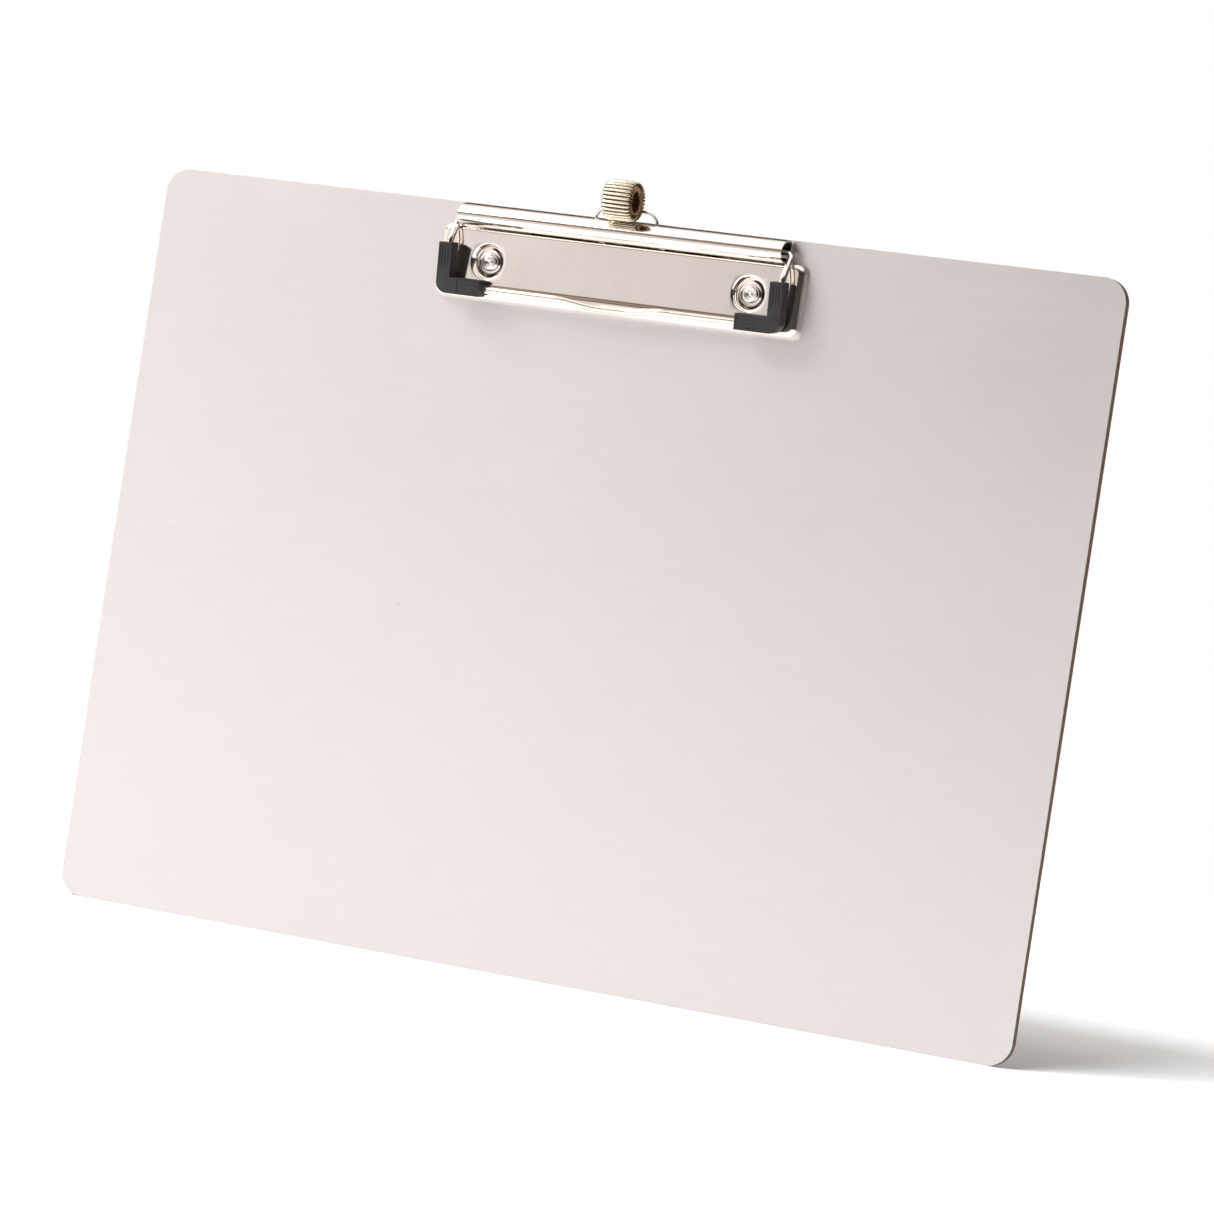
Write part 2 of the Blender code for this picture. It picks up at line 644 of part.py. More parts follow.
def loop_path():
    """The pen loop wire: inturned ends, necks through the roof, arms, and the bar in the coil."""
    middle = (COIL_RADIUS + COIL_HOLE_RADIUS) / 2
    drop, rise = coil_centre()
    bar_drop = drop + middle * math.cos(COIL_SEAM_ANGLE)
    bar_rise = rise + middle * math.sin(COIL_SEAM_ANGLE)
    side = -LOOP_WIDTH / 2
    bar_end = -(COIL_LENGTH / 2 + LOOP_BAR_OVERHANG)
    corners = [
        clip_point(side + LOOP_END_LENGTH, LOOP_AXIS_DROP, LOOP_AXIS_RISE),
        clip_point(side, LOOP_AXIS_DROP, LOOP_AXIS_RISE),
        clip_point(side, LOOP_NECK_DROP, LOOP_AXIS_RISE),
        clip_point(-LOOP_SHOULDER_WIDTH / 2, LOOP_SHOULDER_DROP, LOOP_SHOULDER_RISE),
        clip_point(bar_end, bar_drop, bar_rise),
        clip_point(0, bar_drop, bar_rise),
    ]
    radii = [LOOP_WIRE, LOOP_WIRE, 3 * LOOP_WIRE, LOOP_WIRE]
    return mirrored(rounded_path(corners, radii)[:-1])


def make_pen_loop(parts, pivot, nickel):
    """The coil and the wire that carries it, which swing together about the pivot empty."""
    coil = wire_curve("pen_coil", coil_path(), COIL_WIRE)
    carrier = wire_curve("pen_loop_wire", loop_path(), LOOP_WIRE)
    for curve in (coil, carrier):
        add_object(curve.name, curve, parts, pivot, -pivot.location, nickel)


def add_empty(name, collection, parent=None, place=(0, 0, 0)):
    return add_object(name, None, collection, parent, place)


def main():
    clear_scene()
    parts = make_collection("clipboard")
    cutters = make_collection("clipboard_cutters", hidden=True)
    hardboard = make_material("hardboard", (0.12, 0.055, 0.028), 0.0, 0.7)
    aluminium = make_material("brushed_aluminium", (0.78, 0.75, 0.74), 1.0, 0.35)
    nickel = make_material("nickel_plate", (0.78, 0.72, 0.64), 1.0, 0.1)
    plastic = make_material("black_plastic", (0.02, 0.019, 0.02), 0.0, 0.4)

    frame = add_empty("clip_frame", parts, place=(0, -BOARD_THICKNESS, BOARD_HEIGHT / 2))
    frame.rotation_euler = (math.pi / 2, 0, 0)
    bail_pivot = add_empty("bail_pivot", parts, frame, clip_point(0, BAIL_AXIS_DROP, BAIL_AXIS_RISE))
    loop_pivot = add_empty("pen_loop_pivot", parts, frame, clip_point(0, LOOP_AXIS_DROP, LOOP_AXIS_RISE))

    make_board(parts, cutters, frame, hardboard, aluminium)
    make_clip_plate(parts, cutters, frame, nickel)
    make_rivets(parts, frame, nickel)
    make_bail(parts, cutters, bail_pivot, nickel, plastic)
    make_pen_loop(parts, loop_pivot, nickel)


main()
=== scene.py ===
"""The looks of the landscape clipboard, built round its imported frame.

A place on the clip is given as (x, drop, rise): across the board, down from its top edge, and
out of its writing face. `place` turns that into a point of the shared frame.
"""

import json
import math

import bmesh
import bpy
from mathutils import Matrix, Vector


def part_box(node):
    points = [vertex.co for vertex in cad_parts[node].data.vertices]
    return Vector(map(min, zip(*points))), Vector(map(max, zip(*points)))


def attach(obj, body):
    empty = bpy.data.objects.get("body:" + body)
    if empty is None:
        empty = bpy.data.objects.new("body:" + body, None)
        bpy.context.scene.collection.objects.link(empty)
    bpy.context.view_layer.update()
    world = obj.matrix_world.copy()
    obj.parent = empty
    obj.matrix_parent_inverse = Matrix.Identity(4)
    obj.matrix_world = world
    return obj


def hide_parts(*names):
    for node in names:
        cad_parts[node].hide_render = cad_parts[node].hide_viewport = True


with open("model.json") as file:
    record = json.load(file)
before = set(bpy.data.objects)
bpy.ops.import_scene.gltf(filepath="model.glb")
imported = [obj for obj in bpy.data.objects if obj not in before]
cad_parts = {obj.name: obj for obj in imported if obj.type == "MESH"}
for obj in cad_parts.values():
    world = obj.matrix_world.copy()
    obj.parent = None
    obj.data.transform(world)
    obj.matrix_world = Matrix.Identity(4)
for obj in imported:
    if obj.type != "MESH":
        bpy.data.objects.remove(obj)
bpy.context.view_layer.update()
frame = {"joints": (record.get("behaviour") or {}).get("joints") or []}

MM = 0.001

# The board, as the frame holds it.
CORE_LOW, CORE_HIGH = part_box("hardboard_core")
FACE_LOW, FACE_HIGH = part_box("aluminium_face")
PLATE_LOW, PLATE_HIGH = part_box("clip_plate")
BOARD_TOP = CORE_HIGH.z
WRITING_FACE = FACE_LOW.y
BOARD_CORNER_RADIUS = 7.5 * MM
CORE_EDGE = 0.25 * MM
FACE_EDGE = 0.1 * MM

# The hair's breadth between pieces that lie on each other.
SEATED = 0.02 * MM

# Clip plate.
SHEET = 0.5 * MM
PAN_HALF_LENGTH = PLATE_HIGH.x
PAN_CORNER_RADIUS = 3.0 * MM
PAN_SHOULDER = 1.8 * MM
PAN_TOP_DROP = 7.1 * MM
PAN_BOTTOM_DROP = BOARD_TOP - PLATE_LOW.z
PAN_MIDDLE_DROP = (PAN_TOP_DROP + PAN_BOTTOM_DROP) / 2
PAN_FACE = 3.3 * MM
PAN_CROWN = 0.12 * MM
BEAD_HALF_WIDTH = 2.0 * MM
BEAD_RISE = 0.4 * MM
BEAD_DROP = PAN_BOTTOM_DROP - 3.0 * MM
BEAD_HALF_LENGTH = PAN_HALF_LENGTH - 6.5 * MM
DIMPLE_DEPTH = 2.5 * MM
DIMPLE_OUTER = 5.7 * MM
DIMPLE_INNER = 3.2 * MM
DIMPLE_PATCH = 6.4 * MM
PATCH_STEPS = 20
CORNER_STEPS = 14

# Rolled tube.
TUBE_HALF_LENGTH = PAN_HALF_LENGTH - 6.5 * MM
TUBE_CREST_DROP = 0.3 * MM
TUBE_BEND = 1.0 * MM
TUBE_ROOF_DEPTH = 6.5 * MM
TUBE_ROOF_HEIGHT = 4.5 * MM
TUBE_LIP_DEPTH = 4.4 * MM
TUBE_LIP_HEIGHT = 2.7 * MM
TUBE_ROOF_RISE = 1.3 * MM
TUBE_NOSE_RISE = TUBE_ROOF_RISE + TUBE_ROOF_DEPTH
TUBE_NOSE_DROP = TUBE_CREST_DROP + TUBE_ROOF_HEIGHT

# Rivets.
RIVET_LOW, RIVET_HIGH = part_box("rivet_right")
RIVET_X = (RIVET_LOW.x + RIVET_HIGH.x) / 2
RIVET_DROP = BOARD_TOP - (RIVET_LOW.z + RIVET_HIGH.z) / 2
RIVET_CROWN = WRITING_FACE - RIVET_LOW.y
RIVET_FLANGE_RADIUS = 2.7 * MM
RIVET_BORE_RADIUS = 1.05 * MM
RIVET_HEAD_RADIUS = (RIVET_HIGH.x - RIVET_LOW.x) / 2
RIVET_HOLE_RADIUS = 1.8 * MM
RIVET_SHANK_RADIUS = 1.5 * MM
RIVET_BACK_DEPTH = RIVET_HIGH.y - WRITING_FACE
RIVET_BORE_DEPTH = 0.85 * MM
RIVET_NIB_RADIUS = 0.72 * MM
RIVET_NIB_HEIGHT = 0.5 * MM
RIVET_FLANGE_CROWN = 0.55 * MM
RIVET_FLANGE_HEIGHT = 1.0 * MM
RIVET_GROOVE_DEPTH = 0.1 * MM
RIVET_GROOVE_PLACE = -0.1
RIVET_GROOVE_WIDTH = 0.12
RIVET_HEAD_HEIGHT = 0.7 * MM
HEAD_RECESS_RADIUS = RIVET_HEAD_RADIUS + 0.12 * MM
HEAD_RECESS_DEPTH = CORE_HIGH.y - RIVET_HIGH.y + RIVET_HEAD_HEIGHT + 0.15 * MM

# Bail and grips.
BAIL_JOINT = next(j for j in frame["joints"] if j["name"] == "bail_hinge")
BAIL_AXIS_DROP = BOARD_TOP - BAIL_JOINT["pos_m"][2]
BAIL_AXIS_RISE = WRITING_FACE - BAIL_JOINT["pos_m"][1]
BAIL_WIRE = 2.0 * MM
BAIL_HALF_WIDTH = 55.0 * MM
BAIL_KNEE_DROP = 12.6 * MM
BAIL_RUN_DROP = 26.4 * MM
BAIL_RUN_RISE = 5.0 * MM
BAIL_TILT = math.radians(8)
BAIL_BENDS = [2 * MM, 4 * MM, 3 * MM, 35 * MM, 35 * MM]
BAIL_END_X = 31.5 * MM
BOW_HALF_WIDTH = 16 * MM
BOW_HALF_FLAT = 6 * MM
BOW_DEPTH = 1.3 * MM
GRIP_LEG_WIDTH = 4.3 * MM
GRIP_FOOT_HEIGHT = 4.95 * MM
GRIP_HEIGHT = 15.3 * MM
GRIP_LENGTH = 14.65 * MM
GRIP_THICKNESS = 4.4 * MM
GRIP_CORNER_RADIUS = 3.5 * MM
GRIP_SIDE_MARGIN = 1.9 * MM
GRIP_LOWER_MARGIN = 2.0 * MM
GRIP_EDGE = 0.35 * MM
GRIP_GROOVE = BAIL_WIRE + 0.25 * MM
PANEL_DEPTH = 0.16 * MM
PANEL_LENGTH = 7.6 * MM
PANEL_MARGIN = 0.55 * MM
RIB_LENGTH = 6.4 * MM
RIB_WIDTH = 0.42 * MM
RIBS = 3

# Pen loop.
COIL_LOW, COIL_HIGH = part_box("pen_coil")
COIL_CENTRE = (COIL_LOW + COIL_HIGH) / 2
COIL_WIRE = 0.86 * MM
COIL_HOLE_RADIUS = 3.0 * MM
COIL_OUTER_RADIUS = 6.2 * MM
COIL_TURNS = 30
COIL_TURN_POINTS = 36
COIL_TURN_ROUNDNESS = 0.42
COIL_SEAM_ANGLE = math.radians(-60)
LOOP_JOINT = next(j for j in frame["joints"] if j["name"] == "pen_loop_hinge")
LOOP_AXIS_DROP = BOARD_TOP - LOOP_JOINT["pos_m"][2]
LOOP_AXIS_RISE = WRITING_FACE - LOOP_JOINT["pos_m"][1]
LOOP_WIRE = 0.9 * MM
LOOP_HALF_WIDTH = 10.05 * MM
LOOP_HOOK = 3.0 * MM
LOOP_NECK_DROP = TUBE_CREST_DROP - 0.75 * MM
LOOP_SHOULDER_INSET = 1.3 * MM
LOOP_SHOULDER_DROP = TUBE_CREST_DROP - 2.6 * MM
LOOP_SHOULDER_RISE = LOOP_AXIS_RISE + 0.3 * MM
LOOP_BAR_OVERHANG = 1.3 * MM
SLOT_HALF_WIDTH = 0.75 * MM
SLOT_BACK_RISE = 0.55 * MM
SLOT_FRONT_RISE = 3.05 * MM


# ---------------------------------------------------------------- shapes


def place(x, drop, rise):
    return Vector((x, WRITING_FACE - rise, BOARD_TOP - drop))


def new_object(name, mesh):
    obj = bpy.data.objects.new(name, mesh)
    bpy.context.scene.collection.objects.link(obj)
    return obj


def mesh_object(name, verts, faces):
    mesh = bpy.data.meshes.new(name)
    mesh.from_pydata(verts, [], faces)
    return new_object(name, mesh)


def bmesh_object(name, bm):
    mesh = bpy.data.meshes.new(name)
    bm.to_mesh(mesh)
    bm.free()
    return new_object(name, mesh)


def remove(pieces):
    for piece in pieces:
        bpy.data.objects.remove(piece, do_unlink=True)


def tidy_normals(obj, merge=1e-7):
    bm = bmesh.new()
    bm.from_mesh(obj.data)
    bmesh.ops.remove_doubles(bm, verts=bm.verts[:], dist=merge)
    bmesh.ops.dissolve_degenerate(bm, edges=bm.edges[:], dist=merge)
    bmesh.ops.recalc_face_normals(bm, faces=bm.faces[:])
    bm.to_mesh(obj.data)
    bm.free()


def face_forward(obj):
    """Turn an open sheet so that its frontmost face looks out of the writing face."""
    bm = bmesh.new()
    bm.from_mesh(obj.data)
    front = min(bm.faces, key=lambda face: face.calc_center_median().y)
    if front.normal.y > 0:
        bmesh.ops.reverse_faces(bm, faces=bm.faces[:])
    bm.to_mesh(obj.data)
    bm.free()


def settle(obj, angle=None):
    """Apply an object's modifiers and transform, so that its place is in its mesh."""
    bpy.context.view_layer.update()
    graph = bpy.context.evaluated_depsgraph_get()
    mesh = bpy.data.meshes.new_from_object(obj.evaluated_get(graph))
    mesh.transform(obj.matrix_world)
    name = obj.name
    remove([obj])
    mesh.name = name
    done = new_object(name, mesh)
    if angle is not None:
        mesh.shade_smooth()
        mesh.set_sharp_from_angle(angle=math.radians(angle))
    return done


def flatten_broad_faces(piece, area=4 * MM * MM):
    """Shade the broad flat faces flat, so that the eased edges don't bend their light."""
    for polygon in piece.data.polygons:
        if polygon.area > area:
            polygon.use_smooth = False


def arc(centre, radius, start, end, steps):
    points = []
    for i in range(steps + 1):
        angle = start + (end - start) * i / steps
        points.append((centre[0] + radius * math.cos(angle), centre[1] + radius * math.sin(angle)))
    return points


def spread(low, high, count):
    return [low + (high - low) * i / count for i in range(count + 1)]


def smoothstep(t):
    t = min(max(t, 0.0), 1.0)
    return t * t * (3 - 2 * t)


def rounded_path(corners, radii, steps=10):
    """The path through the corners, with each inner corner replaced by an arc of its radius."""
    path = [corners[0]]
    for i, radius in enumerate(radii, start=1):
        back = (corners[i - 1] - corners[i]).normalized()
        ahead = (corners[i + 1] - corners[i]).normalized()
        half = back.angle(ahead) / 2
        centre = corners[i] + (back + ahead).normalized() * radius / math.sin(half)
        first = corners[i] + back * radius / math.tan(half) - centre
        last = corners[i] + ahead * radius / math.tan(half) - centre
        for k in range(steps + 1):
            path.append(centre + first.slerp(last, k / steps).normalized() * first.length)
    path.append(corners[-1])
    return path


def mirrored(half):
    return half + [Vector((-p.x, p.y, p.z)) for p in reversed(half)]


def wire_piece(name, points, diameter, rounds):
    curve = bpy.data.curves.new(name, "CURVE")
    curve.dimensions = "3D"
    curve.bevel_depth = diameter / 2
    curve.bevel_resolution = rounds
    curve.use_fill_caps = True
    spline = curve.splines.new("POLY")
    spline.points.add(len(points) - 1)
    for point, spot in zip(spline.points, points):
        point.co = (*spot, 1.0)
    piece = settle(new_object(name, curve))
    tidy_normals(piece)
    piece.data.shade_smooth()
    piece.data.set_sharp_from_angle(angle=math.radians(50))
    return piece


def flat_piece(name, outlines, thickness, matrix, edge, segments=2):
    """A flat sheet with eased edges: the first outline bounds it, the others are holes in it."""
    curve = bpy.data.curves.new(name, "CURVE")
    curve.dimensions = "2D"
    curve.fill_mode = "BOTH"
    curve.extrude = thickness / 2
    for outline in outlines:
        spline = curve.splines.new("POLY")
        spline.use_cyclic_u = True
        spline.points.add(len(outline) - 1)
        for point, (x, y) in zip(spline.points, outline):
            point.co = (x, y, 0.0, 1.0)
    obj = new_object(name, curve)
    obj.matrix_world = matrix
    piece = settle(obj)
    tidy_normals(piece, 1e-6)
    bevel = piece.modifiers.new("Edge", "BEVEL")
    bevel.width = edge
    bevel.segments = segments
    bevel.limit_method = "ANGLE"
    bevel.angle_limit = math.radians(40)
    return settle(piece, 20)


def turned_piece(name, profile, x, drop, rounds=96):
    """A round piece on an axis that runs straight out of the board; the profile is (radius, rise)."""
    verts = []
    faces = []
    for radius, rise in profile:
        for k in range(rounds):
            angle = 2 * math.pi * k / rounds
            verts.append(place(x + radius * math.cos(angle), drop + radius * math.sin(angle), rise))
    for i in range(len(profile) - 1):
        for k in range(rounds):
            a = i * rounds + k
            b = i * rounds + (k + 1) % rounds
            faces.append((a, b, b + rounds, a + rounds))
    piece = mesh_object(name, verts, faces)
    tidy_normals(piece)
    piece.data.shade_smooth()
    piece.data.set_sharp_from_angle(angle=math.radians(48))
    return piece


def cut(piece, cutters, angle):
    """Cut other pieces out of a piece; they are kept."""
    for cutter in cutters:
        modifier = piece.modifiers.new("Cut", "BOOLEAN")
        modifier.object = cutter
        modifier.operation = "DIFFERENCE"
        modifier.solver = "EXACT"
    return settle(piece, angle)


# ---------------------------------------------------------------- node trees


class Graph:
    """A node tree with short ways to add a node and to link or set its inputs."""

    def __init__(self, tree):
        self.tree = tree

    def add(self, kind, **settings):
        node = self.tree.nodes.new(kind)
        for key, value in settings.items():
            setattr(node, key, value)
        return node

    def feed(self, socket, value):
        if isinstance(value, bpy.types.NodeSocket):
            self.tree.links.new(value, socket)
        else:
            socket.default_value = value

    def math(self, operation, a, b=0.5, clamp=False):
        node = self.add("ShaderNodeMath", operation=operation, use_clamp=clamp)
        self.feed(node.inputs[0], a)
        self.feed(node.inputs[1], b)
        return node.outputs[0]

    def plus(self, a, b):
        return self.math("ADD", a, b)

    def minus(self, a, b):
        return self.math("SUBTRACT", a, b)

    def times(self, a, b):
        return self.math("MULTIPLY", a, b)

    def noise(self, vector, scale, detail=2.0, roughness=0.5):
        node = self.add("ShaderNodeTexNoise")
        self.feed(node.inputs["Vector"], vector)
        self.feed(node.inputs["Scale"], scale)
        self.feed(node.inputs["Detail"], detail)
        self.feed(node.inputs["Roughness"], roughness)
        return node.outputs["Fac"]

    def span(self, value, low, high, to_low=0.0, to_high=1.0, slope="LINEAR"):
        node = self.add("ShaderNodeMapRange", interpolation_type=slope)
        for socket, amount in zip(node.inputs[:5], (value, low, high, to_low, to_high)):
            self.feed(socket, amount)
        return node.outputs[0]

    def mix(self, factor, a, b):
        node = self.add("ShaderNodeMix", data_type="RGBA")
        self.feed(node.inputs[0], factor)
        self.feed(node.inputs[6], a)
        self.feed(node.inputs[7], b)
        return node.outputs[2]

    def vector(self, operation, a, b):
        node = self.add("ShaderNodeVectorMath", operation=operation)
        self.feed(node.inputs[0], a)
        self.feed(node.inputs[1], b)
        return node.outputs[0]

    def scaled(self, vector, stretch):
        return self.vector("MULTIPLY", vector, stretch)

    def point(self, x, y, z):
        node = self.add("ShaderNodeCombineXYZ")
        for socket, amount in zip(node.inputs, (x, y, z)):
            self.feed(socket, amount)
        return node.outputs[0]


class Growth(Graph):
    """A Geometry Nodes tree with named inputs, which ends in one mesh with its material."""

    def __init__(self, name, inputs):
        super().__init__(bpy.data.node_groups.new(name, "GeometryNodeTree"))
        interface = self.tree.interface
        interface.new_socket("Geometry", in_out="OUTPUT", socket_type="NodeSocketGeometry")
        self.sockets = {}
        for label, kind in inputs:
            socket = interface.new_socket(label, in_out="INPUT", socket_type="NodeSocket" + kind)
            self.sockets[label] = socket.identifier
        self.given = self.add("NodeGroupInput").outputs

    def wire(self, path, radius, thickness=1.0):
        ring = self.add("GeometryNodeCurvePrimitiveCircle")
        self.feed(ring.inputs["Resolution"], 10)
        self.feed(ring.inputs["Radius"], radius)
        body = self.add("GeometryNodeCurveToMesh")
        self.feed(body.inputs["Curve"], path)
        self.feed(body.inputs["Profile Curve"], ring.outputs[0])
        self.feed(body.inputs["Scale"], thickness)
        self.feed(body.inputs["Fill Caps"], True)
        return body.outputs[0]

    def finish(self, geometry, material):
        whole = self.add("GeometryNodeRealizeInstances")
        self.feed(whole.inputs[0], geometry)
        coat = self.add("GeometryNodeSetMaterial")
        self.feed(coat.inputs["Geometry"], whole.outputs[0])
        self.feed(coat.inputs["Material"], material)
        self.feed(self.add("NodeGroupOutput").inputs[0], coat.outputs[0])

    def piece(self, name, values, matrix):
        """A piece grown with these input values, as a plain mesh."""
        obj = new_object(name, bpy.data.meshes.new(name))
        modifier = obj.modifiers.new("Grown", "NODES")
        modifier.node_group = self.tree
        for label, value in values.items():
            modifier[self.sockets[label]] = value
        obj.matrix_world = matrix
        return settle(obj)


def value_group(name, inputs, outputs, build):
    """A shader node group that puts out only values."""
    tree = bpy.data.node_groups.new(name, "ShaderNodeTree")
    for label, kind, default in inputs:
        socket = tree.interface.new_socket(label, in_out="INPUT", socket_type=kind)
        socket.default_value = default
    for label in outputs:
        tree.interface.new_socket(label, in_out="OUTPUT", socket_type="NodeSocketFloat")
    graph = Graph(tree)
    entry = graph.add("NodeGroupInput")
    leave = graph.add("NodeGroupOutput")
    for label, socket in build(graph, entry.outputs).items():
        tree.links.new(socket, leave.inputs[label])
    return tree


def grain_group():
    """Fine lines that run along one direction, with a slower drift in their strength."""

    def build(g, given):
        lines = g.scaled(given["Vector"], given["Stretch"])
        fine = g.noise(lines, 1.0, 3.0, 0.65)
        broad = g.noise(lines, 0.23, 2.0, 0.5)
        both = g.plus(g.times(fine, 0.65), g.times(broad, 0.35))
        return {"Lines": g.span(both, 0.3, 0.7)}

    sockets = [("Vector", "NodeSocketVector", (0, 0, 0)), ("Stretch", "NodeSocketVector", (1, 1, 1))]
    return value_group("brushed_lines", sockets, ["Lines"], build)


def handling_group():
    """Soft smears from hands and cloths, and small sharp scratches."""

    def build(g, given):
        smear = g.span(g.noise(given["Vector"], given["Smear Scale"], 4.0, 0.6), 0.4, 0.72)
        crossing = g.noise(g.scaled(given["Vector"], (1.0, 1.0, 9.0)), given["Scratch Scale"], 2.0, 0.4)
        ridge = g.math("ABSOLUTE", g.minus(crossing, 0.5))
        scratch = g.span(ridge, 0.0, 0.012, 1.0, 0.0)
        patch = g.span(g.noise(given["Vector"], given["Smear Scale"], 2.0), 0.5, 0.65)
        return {"Smear": smear, "Scratch": g.times(scratch, patch)}

    sockets = [
        ("Vector", "NodeSocketVector", (0, 0, 0)),
        ("Smear Scale", "NodeSocketFloat", 30.0),
        ("Scratch Scale", "NodeSocketFloat", 90.0),
    ]
    return value_group("handling_marks", sockets, ["Smear", "Scratch"], build)


def speck_group():
    """Sparse small specks of dust."""

    def build(g, given):
        cells = g.add("ShaderNodeTexVoronoi", feature="F1")
        g.feed(cells.inputs["Vector"], given["Vector"])
        g.feed(cells.inputs["Scale"], given["Scale"])
        dot = g.span(cells.outputs["Distance"], given["Size"], 0.0)
        chosen = g.math("GREATER_THAN", g.noise(given["Vector"], given["Scale"], 0.0), given["Rarity"])
        return {"Mask": g.math("MULTIPLY", dot, chosen, clamp=True)}

    sockets = [
        ("Vector", "NodeSocketVector", (0, 0, 0)),
        ("Scale", "NodeSocketFloat", 100.0),
        ("Size", "NodeSocketFloat", 0.05),
        ("Rarity", "NodeSocketFloat", 0.6),
    ]
    return value_group("dust_specks", sockets, ["Mask"], build)


BRUSHED_LINES = grain_group()
HANDLING_MARKS = handling_group()
DUST_SPECKS = speck_group()


# ---------------------------------------------------------------- materials


def new_material(name, metallic, **constants):
    material = bpy.data.materials.new(name)
    material.use_nodes = True
    graph = Graph(material.node_tree)
    shader = material.node_tree.nodes["Principled BSDF"]
    shader.inputs["Metallic"].default_value = metallic
    for label, amount in constants.items():
        shader.inputs[label.replace("_", " ")].default_value = amount
    coords = graph.add("ShaderNodeTexCoord").outputs["Object"]
    return material, graph, shader, coords


def use_group(graph, group, **inputs):
    node = graph.add("ShaderNodeGroup")
    node.node_tree = group
    for label, value in inputs.items():
        graph.feed(node.inputs[label.replace("_", " ")], value)
    return node.outputs


def bump(graph, shader, height, distance, strength=1.0):
    node = graph.add("ShaderNodeBump")
    node.inputs["Strength"].default_value = strength
    node.inputs["Distance"].default_value = distance
    graph.feed(node.inputs["Height"], height)
    graph.feed(shader.inputs["Normal"], node.outputs["Normal"])


def brushed_aluminium():
    material, g, shader, coords = new_material(
        "brushed_aluminium", 1.0, Anisotropic=0.3, Anisotropic_Rotation=0.25
    )
    lines = use_group(g, BRUSHED_LINES, Vector=coords, Stretch=(90.0, 1.0, 5200.0))["Lines"]
    marks = use_group(g, HANDLING_MARKS, Vector=coords, Smear_Scale=9.0, Scratch_Scale=60.0)
    specks = use_group(g, DUST_SPECKS, Vector=coords, Scale=70.0, Size=0.035, Rarity=0.66)["Mask"]
    base = g.mix(lines, (0.72, 0.685, 0.675, 1), (0.755, 0.72, 0.71, 1))
    g.feed(shader.inputs["Base Color"], g.mix(specks, base, (0.35, 0.3, 0.28, 1)))
    rough = g.plus(g.span(lines, 0.0, 1.0, 0.33, 0.4), g.times(marks["Smear"], 0.03))
    g.feed(shader.inputs["Roughness"], rough)
    bump(g, shader, lines, 0.004 * MM, 0.6)
    return material


def polished_nickel(name, base, rough, smear_scale):
    material, g, shader, coords = new_material(name, 1.0)
    marks = use_group(g, HANDLING_MARKS, Vector=coords, Smear_Scale=smear_scale, Scratch_Scale=240.0)
    dark = tuple(channel * 0.93 for channel in base)
    g.feed(shader.inputs["Base Color"], g.mix(marks["Smear"], (*base, 1), (*dark, 1)))
    wear = g.plus(g.times(marks["Smear"], 0.04), g.times(marks["Scratch"], 0.08))
    g.feed(shader.inputs["Roughness"], g.plus(wear, rough))
    return material


def spring_nickel():
    """The coil's plating: bright where the turns stand proud, with painted shade in dark brown deeper in
    the coil, between and inside the turns.
    """
    material, g, shader, coords = new_material("spring_nickel", 1.0)
    from_axis = g.scaled(g.vector("SUBTRACT", coords, tuple(COIL_CENTRE)), (0.0, 1.0, 1.0))
    reach = g.add("ShaderNodeVectorMath", operation="LENGTH")
    g.feed(reach.inputs[0], from_axis)
    depth = g.minus(COIL_OUTER_RADIUS, reach.outputs["Value"])
    uneven = g.times(g.noise(coords, 900.0, 3.0), 0.5 * MM)
    # Painted shade: the colour darkens to brown with depth in from the coil's outer radius, and the
    # roughness rises with it.
    painted_shade = g.span(g.plus(depth, uneven), 0.35 * MM, 0.95 * MM)
    marks = use_group(g, HANDLING_MARKS, Vector=coords, Smear_Scale=200.0, Scratch_Scale=500.0)
    base = g.mix(marks["Smear"], (0.88, 0.8, 0.66, 1), (0.8, 0.71, 0.55, 1))
    g.feed(shader.inputs["Base Color"], g.mix(painted_shade, base, (0.3, 0.2, 0.11, 1)))
    rough = g.plus(g.times(marks["Scratch"], 0.08), 0.16)
    g.feed(shader.inputs["Roughness"], g.plus(rough, g.times(painted_shade, 0.12)))
    return material


def grip_plastic():
    material, g, shader, coords = new_material("charcoal_plastic", 0.0, Specular_IOR_Level=0.45)
    texture = g.noise(coords, 2600.0, 3.0, 0.6)
    marks = use_group(g, HANDLING_MARKS, Vector=coords, Smear_Scale=160.0, Scratch_Scale=700.0)
    specks = use_group(g, DUST_SPECKS, Vector=coords, Scale=900.0, Size=0.09, Rarity=0.68)["Mask"]
    base = g.mix(marks["Smear"], (0.019, 0.016, 0.017, 1), (0.027, 0.023, 0.025, 1))
    g.feed(shader.inputs["Base Color"], g.mix(specks, base, (0.16, 0.15, 0.15, 1)))
    g.feed(shader.inputs["Roughness"], g.span(texture, 0.3, 0.7, 0.42, 0.56))
    bump(g, shader, texture, 0.02 * MM, 0.5)
    return material


